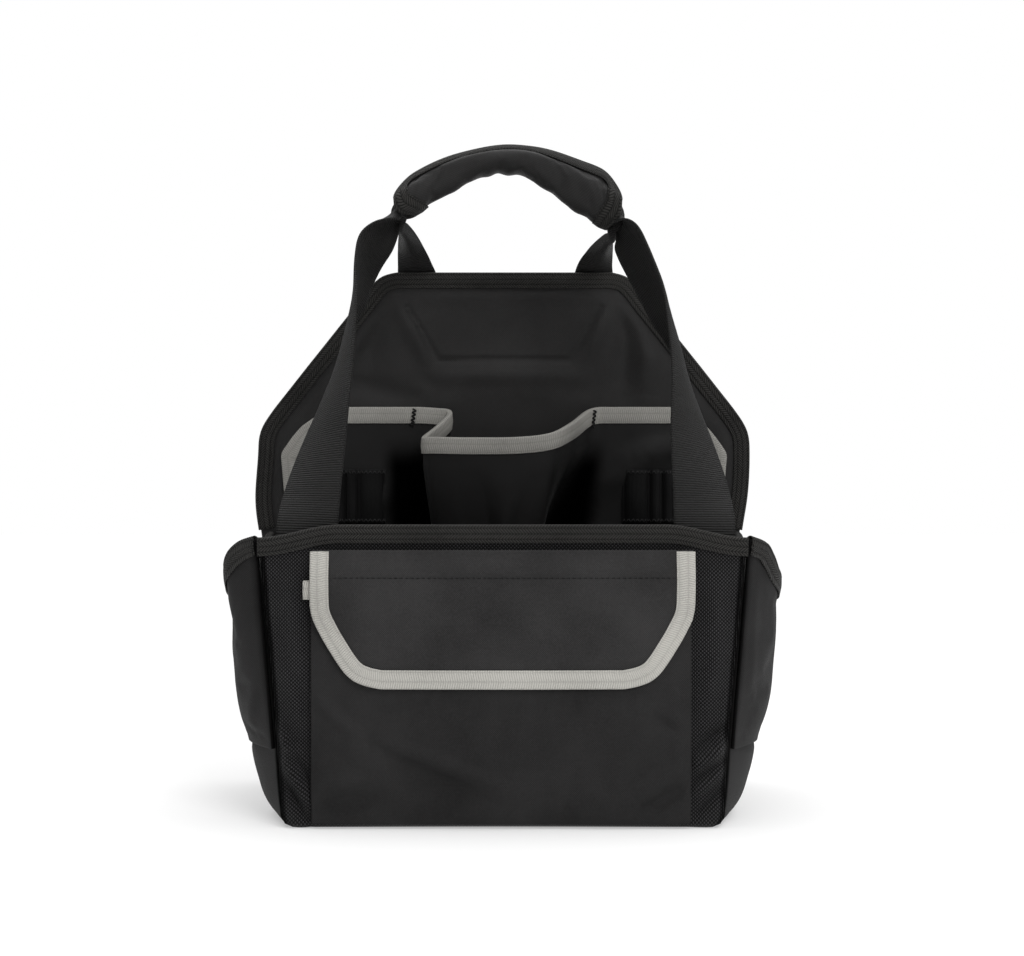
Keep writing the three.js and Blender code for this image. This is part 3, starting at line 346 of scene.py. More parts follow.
BACK_FOLDS = table(
    FOLD_COLUMNS,
    (-92, 340, -99, 288, 12, -4.6), (-75, 338, -52, 294, 6, 3.2), (-48, 289, 58, 288, 7, 3.0),
    (74, 336, 58, 296, 5, 2.4), (87, 340, 84, 276, 8, -4.6), (107, 328, 101, 274, 9, 4.2),
    (-116, 284, -66, 273, 8, -3.0), (-30, 276, 64, 274, 10, 0.8), (-118, 306, -128, 270, 8, 2.6),
)
PANEL_FOLDS = table(
    FOLD_COLUMNS,
    (186, 232, 200, 150, 9, -2.0), (212, 228, 206, 140, 8, 2.0), (236, 230, 224, 150, 9, -1.8),
    (92, 216, 62, 190, 11, 3.2), (64, 232, 40, 200, 9, -1.5), (318, 232, 366, 240, 10, 4.0),
    (300, 206, 330, 230, 9, 3.0), (352, 240, 372, 214, 8, 2.4), (306, 236, 330, 246, 7, -1.0),
)


def length(name, description, millimetres):
    return FloatProperty(name=name, description=description, default=millimetres * MM, unit="LENGTH")


def amount(name, description, value):
    return FloatProperty(name=name, description=description, default=value)


def colour(name, description, *shade):
    return FloatVectorProperty(
        name=name, description=description, default=shade, subtype="COLOR", min=0, max=1)


class ToolBagSizes(bpy.types.PropertyGroup):
    """Thicknesses and widths of the cloth, tape and webbing"""

    wall: length("Wall cloth", "Thickness of the front and side walls", 2.4)
    pouch: length("Pouch cloth", "Thickness of the pouches, the front pocket and its flap", 2.0)
    panel: length("Panel cloth", "Thickness of the inner pocket panel", 2 * PANEL_HALF_THICK)
    webbing: length("Webbing", "Thickness of the straps", 1.6)
    webbing_width: length("Webbing width", "Width of the straps", 38)
    elastic: length("Elastic", "Thickness of the tool loops", 2 * ELASTIC_HALF_THICK)
    binding_width: length("Binding width", "Width of one leg of the black binding", 10)
    tape_width: length("Tape width", "Width of one leg of the grey tape", 10.3)
    tape: length("Tape", "Thickness of tape and binding", 0.9)
    padding: length("Back padding", "Thickness of the padded back wall", BACK_THICK)
    stitch: length("Stitch", "Length of one stitch", 2.6)


class ToolBagColours(bpy.types.PropertyGroup):
    """Colours of the cloth, tape, webbing, thread and metal"""

    smooth_cloth: colour("Smooth cloth", "Pouches, pocket, flap and side walls", 0.0135, 0.0131, 0.0132)
    coarse_cloth: colour("Coarse cloth", "Front wall and base board", 0.0105, 0.0103, 0.0107)
    padded_cloth: colour("Padded cloth", "Back wall and handle wrap", 0.0132, 0.0127, 0.0126)
    lining_cloth: colour("Lining", "Inner pocket panel", 0.003, 0.0028, 0.0028)
    webbing: colour("Webbing", "Straps", 0.0044, 0.0042, 0.004)
    elastic: colour("Elastic", "Tool loops", 0.003, 0.003, 0.0031)
    black_tape: colour("Black tape", "Bindings", 0.0068, 0.0066, 0.0062)
    grey_tape: colour("Grey tape", "Tape on the flap, pocket and panel", 0.365, 0.356, 0.33)
    thread: colour("Thread", "Stitches", 0.002, 0.002, 0.002)
    metal: colour("Stud metal", "Feet", 0.66, 0.65, 0.62)
    floor: colour("Floor", "Floor and backdrop", 0.54, 0.54, 0.54)


class ToolBagStage(bpy.types.PropertyGroup):
    """Camera and light"""

    eye_height: length("Camera height", "Height of the level camera", 215)
    eye_distance: length("Camera distance", "From the camera to the bag's middle plane", 1297)
    eye_side: length("Camera side step", "How far right of the middle the camera stands", 5.7)
    lens: amount("Lens", "Focal length on a 36 mm sensor", 68.77)
    top_light: amount("Top light", "Strength of the soft light overhead", 3.3)
    front_light: amount("Front light", "Power of the soft light in front in watts", 24)
    floor_glow: amount("Floor glow", "Light from below through the pale floor", 0.42)
    sky: amount("Sky", "Strength of the even light from all round", 0.1)


# Small helpers for shares, curves and places on cloth
def mix(low, high, share):
    return low + (high - low) * share


def clamp01(value):
    return np.clip(value, 0.0, 1.0)


def ease(share):
    return np.sin(clamp01(share) * math.pi / 2)


def smooth(share):
    share = clamp01(share)
    return share * share * (3 - 2 * share)


def stack(x, y, z):
    return np.stack(np.broadcast_arrays(x, y, z), axis=-1).astype(float)


def read(rows, key, at, column):
    """One column of a table, on a smooth curve through its rows"""
    keys, values = rows[key], rows[column]
    at = np.asarray(at, float)
    index = np.searchsorted(keys[1:-1], at, side="left")
    last = len(keys) - 1
    before = np.maximum(np.arange(last + 1) - 1, 0)
    after = np.minimum(np.arange(last + 1) + 1, last)
    slope = (values[after] - values[before]) / (keys[after] - keys[before])
    span = keys[index + 1] - keys[index]
    share = clamp01((at - keys[index]) / span)
    rest = 1 - share
    return (values[index] * (1 + 2 * share) * rest * rest
            + slope[index] * span * share * rest * rest
            + values[index + 1] * (1 + 2 * rest) * share * share
            - slope[index + 1] * span * rest * share * share)


def normal_at(place, a, b, step=0.05):
    along = place(a + step, b) - place(a - step, b)
    rise = place(a, b + step) - place(a, b - step)
    normal = np.cross(along, rise)
    return normal / np.linalg.norm(normal, axis=-1, keepdims=True)


def folds(rows, a, b):
    """Height of soft ridges and hollows that fade out at both ends"""
    height = np.zeros(np.shape(a))
    for a0, b0, a1, b1, width, rise in zip(*(rows[name] for name in FOLD_COLUMNS.split())):
        run_a, run_b = a1 - a0, b1 - b0
        share = clamp01(((a - a0) * run_a + (b - b0) * run_b) / (run_a ** 2 + run_b ** 2))
        away = np.hypot(a - a0 - share * run_a, b - b0 - share * run_b)
        fade = np.sin(math.pi * mix(FOLD_FADE, 1 - FOLD_FADE, share))
        height += rise * fade * np.exp(-(away / width) ** 2)
    return height


def ripple(a, b, size, turn):
    """Slow uneven swell of slack cloth, from -1 to 1"""
    p, q = a / size, b / size
    return (np.sin(1.9 * p + 0.7 * q + turn) + np.sin(-0.8 * p + 2.3 * q + 2.1 * turn)
            + np.sin(1.3 * p - 1.7 * q + 3.7 * turn)) / 3


def soften(edge, rounds=2):
    """Cuts the corners of a run of points, keeping its ends"""
    edge = np.asarray(edge, float)
    for _ in range(rounds):
        near = mix(edge[:-1], edge[1:], 0.25)
        far = mix(edge[:-1], edge[1:], 0.75)
        inner = np.stack([near, far], axis=1).reshape(-1, edge.shape[1])
        edge = np.concatenate([edge[:1], inner[1:-1], edge[-1:]])
    return edge


def lengths(points):
    steps = np.linalg.norm(np.diff(points, axis=0), axis=1)
    return np.concatenate([[0.0], np.cumsum(steps)])


def resample(edge, step):
    """The same run of points at even steps"""
    edge = np.asarray(edge, float)
    run = lengths(edge)
    at = np.linspace(0, run[-1], max(2, int(round(run[-1] / step)) + 1))
    return np.stack([np.interp(at, run, edge[:, axis]) for axis in range(edge.shape[1])], axis=1)


# Surfaces of the bag: each gives the middle of its cloth in millimetres
def front_wall_at(x, z):
    bow = read(FRONT_ROWS, "z", z, "bow") * (1 - (x / RIM_HALF_WIDTH) ** 2)
    return stack(x, FRONT_Y - bow, z)


def rim_height(x):
    droop = smooth((np.abs(x) - RIM_DROOP_START) / (RIM_HALF_WIDTH - RIM_DROOP_START))
    return mix(RIM_MIDDLE_Z, RIM_CORNER_Z, droop)


def side_share(y):
    return (y - SIDE_FRONT_Y) / (SIDE_BACK_Y - SIDE_FRONT_Y)


def side_reach(y, z):
    share = side_share(y)
    front, mid, back = (read(SIDE_ROWS, "z", z, name) for name in ("front", "mid", "back"))
    corner = mix(front, mid, ease(share / SIDE_CORNER_SHARE))
    return mix(corner, back, smooth((share - SIDE_CORNER_SHARE) / (1 - SIDE_CORNER_SHARE)))


def side_top(y):
    return SIDE_TOP_Z - SIDE_TOP_SAG * np.sin(clamp01(side_share(y)) * math.pi)


def pouch_reach(y, z, rise, wall, pouch):
    share = side_share(y)
    shape = ease(share / rise) * ease((1 - share) / POUCH_FALL)
    full = np.maximum(0, read(POUCH_FULLNESS, "z", z, "full"))
    return side_reach(y, z) + wall / 2 + POUCH_CLEAR + pouch / 2 + full * shape


def pouch_rim(y, name):
    return read(POUCH_RIMS[name], "share", side_share(y), "z")


def back_wall_at(x, z):
    lean = BACK_LEAN * smooth((LEAN_TOP_Z - z) / LEAN_FADE_Z) * smooth((-x - LEAN_START_X) / LEAN_FADE_X)
    return stack(x - lean, BACK_Y, z)


def back_half(z):
    return read(BACK_ROWS, "z", z, "half")


def quilt_half(z):
    return mix(QUILT_LOW_HALF, QUILT_HIGH_HALF, clamp01((z - QUILT_LOW_Z) / (QUILT_HIGH_Z - QUILT_LOW_Z)))


def quilt_distance(x, z):
    """Distance from the seam that runs down both sides and along the bottom of the trapezoid"""
    beyond = np.maximum(np.maximum(QUILT_LOW_Z - z, z - QUILT_HIGH_Z), 0)
    sideways = np.abs(np.abs(x) - quilt_half(z))
    outside = np.maximum(0, np.abs(x) - quilt_half(z))
    return np.minimum(np.hypot(sideways, beyond), np.hypot(outside, z - QUILT_LOW_Z))


PANEL_RUN = lengths(np.stack([PANEL_ROWS["x"], PANEL_ROWS["out"]], axis=1))
PANEL_STATIONS = {**PANEL_ROWS, "run": PANEL_RUN}
PANEL_LENGTH = PANEL_RUN[-1]
PANEL_FACE_Y = BACK_Y - BACK_THICK / 2 - 2 * SEAM_GAP - GREY_TAPE_THICK - PANEL_HALF_THICK


def panel_at(run, level):
    height = (level - PANEL_BOTTOM_Z) / (PANEL_TOP_Z - PANEL_BOTTOM_Z)
    beyond = np.where(run < 0, run, np.maximum(0, run - PANEL_LENGTH))
    low_x, top_x = (read(PANEL_STATIONS, "run", run, name) for name in ("lowX", "x"))
    low_out, top_out, droop = (
        np.maximum(0, read(PANEL_STATIONS, "run", run, name)) for name in ("lowOut", "out", "droop"))
    x = mix(low_x, top_x, clamp01(height * PANEL_SPREAD)) + beyond
    tuck = clamp01(read(PANEL_STATIONS, "run", run, "tuck"))
    out = mix(low_out, top_out, mix(ease(height), clamp01(height) ** 3, tuck))
    return stack(x, PANEL_FACE_Y - out, level - droop * smooth(height))


def pleat_painted_shade(run, level):
    """How much painted shade darkens the cloth in the pleats beside the middle pocket, from 0 to 1"""
    (left, left_end), (right, right_end) = PANEL_RUN[list(PLEAT_LEFT)], PANEL_RUN[list(PLEAT_RIGHT)]
    (left_past, left_fade), (right_past, right_fade) = PLEAT_FADE["left"], PLEAT_FADE["right"]
    crease = PLEAT_FADE["crease"]
    beside_left = smooth((run - left + left_past) / left_fade) * smooth((left_end - run) / crease)
    beside_right = smooth((run - right) / crease) * smooth((right_end + right_past - run) / right_fade)
    return np.maximum(beside_left, beside_right) * smooth((PLEAT_TOP_Z - level) / PLEAT_FADE["top"])


def panel_edge(run):
    """Height of the panel's top edge, cut down at both sides"""
    inset = np.minimum(run, PANEL_LENGTH - run)
    cut = -PANEL_CUT_X - PANEL_ROWS["x"][0]
    mid_run, mid_z = cut * PANEL_CUT_ROUND[0], mix(PANEL_CUT_Z, PANEL_TOP_Z, PANEL_CUT_ROUND[1])
    low = mix(PANEL_CUT_Z, mid_z, inset / mid_run)
    high = mix(mid_z, PANEL_TOP_Z, (inset - mid_run) / (cut - mid_run))
    return np.minimum(PANEL_TOP_Z, np.where(inset < mid_run, low, high))


def pocket_at(x, z):
    wall = front_wall_at(x, z)
    across = clamp01((x - POCKET_LEFT_X) / (POCKET_RIGHT_X - POCKET_LEFT_X))
    height = clamp01((z - POCKET_BOTTOM_Z) / (POCKET_TOP_Z - POCKET_BOTTOM_Z))
    full = POCKET_FULLNESS * np.sqrt(np.sin(across * math.pi)) * ease(height * POCKET_LOW_RISE)
    near_mouth = mix(POCKET_MOUTH_SHARE, 1, ease(POCKET_MOUTH_RISE * (1 - height)))
    wall[..., 1] -= POCKET_STAND_OFF + full * near_mouth
    return wall


def flap_at(x, z):
    on_wall = front_wall_at(x, z)[..., 1] - FLAP_STAND_OFF
    on_pocket = pocket_at(x, np.minimum(z, POCKET_TOP_Z))[..., 1] - FLAP_LIFT
    share = smooth((FLAP_TOP_Z - z) / (FLAP_TOP_Z - POCKET_TOP_Z - FLAP_TURN))
    return stack(x, mix(on_wall, on_pocket, share), z)


def flap_half(z):
    return np.minimum(FLAP_HALF, read(FLAP_ROWS, "z", z, "half"))


def pad_end(x):
    return smooth((np.abs(x) - PAD_END_START) / PAD_END_RUN)


def pad_drop(x):
    return read(PAD_ROWS, "x", x, "height") / 2 - PAD_BODY * PAD_BODY_SHARE


def pad_middle(x):
    return read(PAD_ROWS, "x", x, "mid")


def pad_at(x, girth):
    share = np.abs(girth) / (PAD_GIRTH / 2)
    angle = np.minimum(share / PAD_ROUND_SHARE, 1) * PAD_ROUND_ANGLE
    straight = np.maximum(0, (share - PAD_ROUND_SHARE) / (1 - PAD_ROUND_SHARE))
    out = mix(np.sin(angle), PAD_TOP_HALF_GAP, straight)
    up = mix(-np.cos(angle), PAD_TOP_RISE, straight)
    thick = PAD_HALF_THICK + PAD_END_FLARE * pad_end(x)
    return stack(x, np.sign(girth) * out * thick, pad_middle(x) + up * pad_drop(x))


def pad_end_at(side, girth):
    share = np.abs(girth) / (PAD_GIRTH / 2)
    turn = clamp01((share - PAD_CUT_SHARE) / (1 - PAD_CUT_SHARE))
    cut = PAD_CORNER_CUT * (1 - np.sqrt(1 - turn ** 2))
    low = 1 - smooth(share / PAD_LOW_CUT_SHARE)
    if side < 0:
        return PAD_LEFT_X + cut + PAD_LOW_CUT_LEFT * low
    return PAD_RIGHT_X - cut - PAD_LOW_CUT_RIGHT * low


# Meshes
def mesh_of(bm, name):
    mesh = bpy.data.meshes.new(name)
    bm.to_mesh(mesh)
    bm.free()
    return mesh


def grid(name, columns, rows):
    """A flat grid, with the share across and the share up of each of its points"""
    bm = bmesh.new()
    bmesh.ops.create_grid(bm, x_segments=columns, y_segments=rows, size=0.5)
    mesh = mesh_of(bm, name)
    flat = np.zeros(len(mesh.vertices) * 3)
    mesh.vertices.foreach_get("co", flat)
    flat = flat.reshape(-1, 3)
    return mesh, clamp01(flat[:, 0] + 0.5), clamp01(flat[:, 1] + 0.5)


def put(mesh, points, across, up):
    """Moves the points of a grid to their places and keeps their flat places as its map"""
    metres = (points + np.array([0, SHIFT_Y, 0])) * MM
    mesh.vertices.foreach_set("co", metres.astype(np.float32).ravel())
    corner = np.zeros(len(mesh.loops), np.int32)
    mesh.loops.foreach_get("vertex_index", corner)
    cloth = mesh.uv_layers.new(name="cloth")
    flat = np.stack([across, up], axis=1)[corner] * MM
    cloth.data.foreach_set("uv", flat.astype(np.float32).ravel())
    mesh.shade_smooth()
    mesh.update()


def thicken(piece, thickness):
    shell = piece.modifiers.new("thickness", "SOLIDIFY")
    shell.thickness = thickness
    shell.offset = 0
    return piece


def add_piece(mesh, finish, *nodes, slot=None, thick=None):
    """A piece of the bag with its finish, which stands for the named solids"""
    material = bpy.data.materials.get(f"{finish}_finish")
    if material is None:
        raise RuntimeError(f"the finish {finish} is made by bag.make_finishes, which comes first")
    piece = bpy.data.objects.new(mesh.name, mesh)
    bpy.context.scene.collection.objects.link(piece)
    piece.data.materials.append(material)
    slot = slot or finish
    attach(piece, "root")
    if nodes:
        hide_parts(*nodes)
    return piece if thick is None else thicken(piece, thick)


def lay_cloth(name, columns, rows, flat, place, relief=None, out=1):
    """A sheet of cloth on its surface, with its folds raised on its outer side"""
    mesh, u, v = grid(name, columns, rows)
    a, b = flat(u, v)
    points = place(a, b)
    if relief is not None:
        points = points + normal_at(place, a, b) * (out * relief(a, b))[:, None]
    put(mesh, points, a, b)
    return mesh


def settle(piece, held, swell, slack, cap, stiff, frames=SETTLE_FRAMES):
    """Lets a sheet puff and crease between its seams as cloth does, and keeps the shape it takes"""
    mesh, scene = piece.data, bpy.context.scene
    before = np.zeros(len(mesh.vertices) * 3)
    mesh.vertices.foreach_get("co", before)
    seam = piece.vertex_groups.new(name="held")
    held = np.round(np.broadcast_to(held, len(mesh.vertices)), 2)
    for weight in np.unique(held):
        seam.add(np.flatnonzero(held == weight).tolist(), float(weight), "REPLACE")
    cloth = piece.modifiers.new("settle", "CLOTH")
    cloth.settings.quality = CLOTH_QUALITY
    cloth.settings.mass = CLOTH_MASS
    cloth.settings.bending_stiffness = stiff
    cloth.settings.vertex_group_mass = seam.name
    cloth.settings.use_pressure = True
    cloth.settings.uniform_pressure_force = swell
    cloth.settings.shrink_min = -slack
    cloth.settings.effector_weights.gravity = 0
    cloth.point_cache.frame_end = frames
    for number in range(1, frames + 1):
        scene.frame_set(number)
    after = np.zeros(len(before))
    piece.evaluated_get(bpy.context.evaluated_depsgraph_get()).data.vertices.foreach_get("co", after)
    piece.modifiers.remove(cloth)
    piece.vertex_groups.remove(seam)
    scene.frame_set(1)
    move = (after - before).reshape(-1, 3)
    far = np.linalg.norm(move, axis=1, keepdims=True)
    move *= np.minimum(1, cap * MM / np.maximum(far, 1e-9))
    mesh.vertices.foreach_set("co", (before + move.ravel()).astype(np.float32))
    mesh.update()
    return piece


def flat_places(piece):
    """Flat places of a sheet's points, in millimetres"""
    mesh = piece.data
    corner = np.zeros(len(mesh.loops), np.int32)
    mesh.loops.foreach_get("vertex_index", corner)
    flat = np.zeros(len(mesh.loops) * 2, np.float32)
    mesh.uv_layers["cloth"].data.foreach_get("uv", flat)
    places = np.zeros((len(mesh.vertices), 2))
    places[corner] = flat.reshape(-1, 2) / MM
    return places.T


def paint_shade(piece, depth):
    """Keeps for each point how much painted shade darkens it in a pleat or along a seam, from 0 to 1"""
    deep = piece.data.attributes.new("deep", "FLOAT", "POINT")
    deep.data.foreach_set("value", np.asarray(depth, np.float32))
    return piece


def rounder(piece):
    """One smooth subdivision of a sheet"""
    finer = piece.modifiers.new("rounder", "SUBSURF")
    finer.levels = finer.render_levels = 1
    return piece


def inward_along(edge, loop):
    """Direction into the cloth, which lies on the left of its edge"""
    if loop:
        ahead, behind = np.roll(edge, -1, axis=0), np.roll(edge, 1, axis=0)
    else:
        ahead = np.concatenate([edge[1:], 2 * edge[-1:] - edge[-2:-1]])
        behind = np.concatenate([2 * edge[:1] - edge[1:2], edge[:-1]])
    run = ahead - behind
    run = run / np.linalg.norm(run, axis=1, keepdims=True)
    return np.stack([-run[:, 1], run[:, 0]], axis=1)


def bind_edge(name, edge, place, hold, width, tape, loop=False, slack=SEAM_GAP, ridges=1):
    """Tape folded over an edge: a soft channel of two legs and a round fold"""
    edge = np.asarray(edge, float)
    inward = inward_along(edge, loop)
    high = hold + slack + tape / 2
    cap = slack + tape / 2 + TAPE_FOLD_ROOM
    leg = np.linspace(width, 0, TAPE_LEG_STEPS)
    turn = np.linspace(0, math.pi, TAPE_FOLD_STEPS)[1:-1]
    depth = np.concatenate([leg, -cap * np.sin(turn), leg[::-1]])
    lift = np.concatenate([np.full(len(leg), high), high * np.cos(turn), np.full(len(leg), -high)])
    lift = lift + TAPE_PILLOW * np.sin(ridges * math.pi * clamp01(depth / width)) ** 2 * np.sign(lift)
    across = lengths(np.stack([depth, lift], axis=1))
    across = across - across[-1] / 2
    if loop:
        edge = np.concatenate([edge, edge[:1]])
        inward = np.concatenate([inward, inward[:1]])
    along = lengths(place(edge[:, 0], edge[:, 1]))
    mesh, u, v = grid(name, len(edge) - 1, len(depth) - 1)
    column = np.rint(u * (len(edge) - 1)).astype(int)
    row = np.rint(v * (len(depth) - 1)).astype(int)
    a = edge[column, 0] + inward[column, 0] * depth[row]
    b = edge[column, 1] + inward[column, 1] * depth[row]
    points = place(a, b) + normal_at(place, a, b) * lift[row][:, None]
    put(mesh, points, along[column], across[row])
    if loop:
        bm = bmesh.new()
        bm.from_mesh(mesh)
        bmesh.ops.remove_doubles(bm, verts=bm.verts, dist=1e-6)
        bm.to_mesh(mesh)
        bm.free()
    return mesh


def add_binding(sizes, name, node, edge, place, hold, **fold):
    """Black binding over the edge of a sheet"""
    mesh = bind_edge(name, edge, place, hold, sizes.binding_width / MM, sizes.tape / MM, **fold)
    return add_piece(mesh, "black_tape", node, thick=sizes.tape)


def add_grey_tape(sizes, name, node, edge, place, hold, finish="grey_tape", **fold):
    """Grey tape over the edge of a sheet"""
    mesh = bind_edge(name, edge, place, hold, sizes.tape_width / MM, GREY_TAPE_THICK, **fold)
    return add_piece(mesh, finish, node, slot="grey_tape", thick=GREY_TAPE_THICK * MM)


def strap_stations(left, right, nest, width, steps=8, grip_steps=48):
    """Middle line, width direction and curl of a strap from its left end to its right end"""
    bend = nest["open"] * width / nest["radius"]
    grip = []
    for x in np.linspace(PAD_LEFT_X - nest["reach"], PAD_RIGHT_X + nest["reach"], grip_steps + 1):
        room = NEST_END_ROOM_LEFT if x < 0 else NEST_END_ROOM_RIGHT
        drop = pad_drop(x) - REAR_NEST["below"] - room * pad_end(x)
        squash, rise = drop / REAR_NEST["radius"], -drop
        if nest["open"] < 0:
            rise += nest["least"] + nest["share"] * squash + 2 * nest["squash"] * nest["radius"]
            squash = nest["squash"]
        at = np.array([x, 0.0, pad_middle(x) + rise])
        grip.append((at, np.array([0.0, -1.0, 0.0]), bend, squash, 1.0, 1.0))

    def free_run(rows, start):
        keys = np.vstack([np.stack([rows["x"], rows["y"], rows["z"]], axis=1), start[0]])
        count = len(rows["x"])
        keyed = np.vstack([2 * keys[0] - keys[1], keys, 2 * keys[-1] - keys[-2]])
        turns = {name: np.append(rows[name], last) for name, last in zip(
            ("wx", "wy", "wz", "curl", "squash"), (0, -1, 0, math.degrees(bend), start[3]))}
        turns["pinch"] = np.append(rows.get("pinch", np.ones(count)), 1.0)
        turns["index"] = np.arange(count + 1, dtype=float)
        run = []
        for step in range(count * steps):
            index, share = divmod(step / steps, 1)
            at = curve_point(keyed[int(index):int(index) + 4], share)
            wide = np.array([read(turns, "index", step / steps, name) for name in ("wx", "wy", "wz")])
            curl = math.radians(float(read(turns, "index", step / steps, "curl")))
            grip_share = share if index == count - 1 else 0.0
            squash, pinch = (float(read(turns, "index", step / steps, name)) for name in ("squash", "pinch"))
            run.append((at, wide / np.linalg.norm(wide), curl, squash, grip_share, pinch))
        return run

    return [*free_run(left, grip[0]), *grip, *reversed(free_run(right, grip[-1]))]


def curve_point(four, share):
    """A point between the middle two of four points, on a curve that doesn't overshoot"""
    spans = np.maximum(np.sqrt(np.linalg.norm(np.diff(four, axis=0), axis=1)), 1e-4)
    leave = ((four[1] - four[0]) / spans[0] - (four[2] - four[0]) / (spans[0] + spans[1])
             + (four[2] - four[1]) / spans[1]) * spans[1]
    enter = ((four[2] - four[1]) / spans[1] - (four[3] - four[1]) / (spans[1] + spans[2])
             + (four[3] - four[2]) / spans[2]) * spans[1]
    rest = 1 - share
    return (four[1] * (1 + 2 * share) * rest ** 2 + leave * share * rest ** 2
            + four[2] * (1 + 2 * rest) * share ** 2 - enter * rest * share ** 2)


def evened(values, reach=4):
    """Each value averaged with its neighbours along a strap"""
    count = len(values)
    padded = np.concatenate([np.repeat(values[:1], reach, 0), values, np.repeat(values[-1:], reach, 0)])
    return sum(padded[start:start + count] for start in range(2 * reach + 1)) / (2 * reach + 1)


def sweep_strap(name, left, right, nest, width):
    """Flat webbing along its stations, curled about its length where it is gathered"""
    middle, *turns = (np.array(column) for column in zip(*strap_stations(left, right, nest, width)))
    stations = list(zip(middle, *(evened(column) for column in turns)))
    ahead = np.vstack([middle[1:], middle[-1:]])
    behind = np.vstack([middle[:1], middle[:-1]])
    tangent = evened(ahead - behind)
    tangent /= np.linalg.norm(tangent, axis=1, keepdims=True)
    run = lengths(middle)
    mesh, u, v = grid(name, len(stations) - 1, STRAP_FACETS)
    column = np.rint(u * (len(stations) - 1)).astype(int)
    points = np.zeros((len(u), 3))
    for index, (at, wide, bend, squash, grip, pinch) in enumerate(stations):
        face = np.cross(wide, tangent[index])
        face /= np.linalg.norm(face)
        face = mix(face, np.array([0, 0, 1.0]), grip)
        face /= np.linalg.norm(face)
        if grip < 1:
            wide = wide - tangent[index] * wide.dot(tangent[index]) * (1 - grip)
            wide = wide / np.linalg.norm(wide)
        radius = width / max(abs(bend), STRAP_LEAST_BEND)
        here = column == index
        angle = (v[here] - 0.5) * width / radius
        lift = math.copysign(squash * radius, bend) * (1 - np.cos(angle))
        points[here] = at + np.outer(pinch * radius * np.sin(angle), wide) + np.outer(lift, face)
    put(mesh, points, run[column], v * width)
    return mesh


def on_cloth(place, starts, ends, lift, out):
    """Both ends of each stitch on a surface, and the way out of the cloth"""
    normal = normal_at(place, *((starts + ends) / 2).T) * out
    return list(zip(place(*starts.T) + normal * lift, place(*ends.T) + normal * lift, normal))


def straight_stitches(place, flat, lift, stitch):
    flat = resample(flat, stitch + STITCH_GAP)
    ends = mix(flat[:-1], flat[1:], stitch / (stitch + STITCH_GAP))
    return on_cloth(place, flat[:-1], ends, lift, 1)


def zigzag_stitches(place, start, end, lift, pitch, swing, out=1):
    flat = resample([start, end], pitch)
    run = np.subtract(end, start) / np.linalg.norm(np.subtract(end, start))
    side = np.where(np.arange(len(flat)) % 2, swing, -swing)
    flat = flat + side[:, None] * np.array([-run[1], run[0]])
    return on_cloth(place, flat[:-1], flat[1:], lift, out)


def sew(name, stitches, thick):
    """Short rounded stitches that stand on the cloth"""
    bm = bmesh.new()
    for start, end, up in stitches:
        start, end = (Vector(point + np.array([0, SHIFT_Y, 0])) * MM for point in (start, end))
        along = (end - start).normalized()
        aside = Vector(up).cross(along).normalized()
        turn = Matrix((along, aside, along.cross(aside))).transposed().to_4x4()
        size = Matrix.Diagonal((
            (end - start).length * STITCH_OVERLAP, thick * MM, thick * MM * STITCH_FLATNESS, 1))
        bmesh.ops.create_icosphere(
            bm, subdivisions=1, radius=0.5, matrix=Matrix.Translation((start + end) / 2) @ turn @ size)
    mesh = mesh_of(bm, name)
    mesh.shade_smooth()
    return mesh


# Shader node helpers
class Graph:
    """Adds nodes to a tree and joins them by value or by link"""

    def __init__(self, tree):
        self.tree = tree

    def feed(self, socket, value):
        if isinstance(value, bpy.types.NodeSocket):
            self.tree.links.new(value, socket)
        else:
            socket.default_value = value

    def node(self, kind, inputs=None, **settings):
        node = self.tree.nodes.new(kind)
        for key, value in settings.items():
            setattr(node, key, value)
        for name, value in (inputs or {}).items():
            self.feed(node.inputs[name], value)
        return node

    def math(self, operation, *values):
        node = self.node("ShaderNodeMath", operation=operation)
        for socket, value in zip(node.inputs, values):
            self.feed(socket, value)
        return node.outputs[0]

    def hump(self, value):
        """A round profile over each whole step of a value, 0 at its ends and 1 in its middle"""
        swing = self.math("MULTIPLY_ADD", self.math("FRACT", value), 2.0, -1.0)
        return self.math("SUBTRACT", 1.0, self.math("MULTIPLY", swing, swing))


def new_group(name, inputs, outputs):
    tree = bpy.data.node_groups.new(name, "ShaderNodeTree")
    for socket, kind, default in inputs:
        made = tree.interface.new_socket(socket, in_out="INPUT", socket_type=kind)
        if default is not None:
            made.default_value = default
    for socket, kind in outputs:
        tree.interface.new_socket(socket, in_out="OUTPUT", socket_type=kind)
    graph = Graph(tree)
    return graph, tree.nodes.new("NodeGroupInput").outputs, tree.nodes.new("NodeGroupOutput").inputs


WOVEN_OUTPUTS = [("Height", "NodeSocketFloat"), ("Crown", "NodeSocketFloat")]


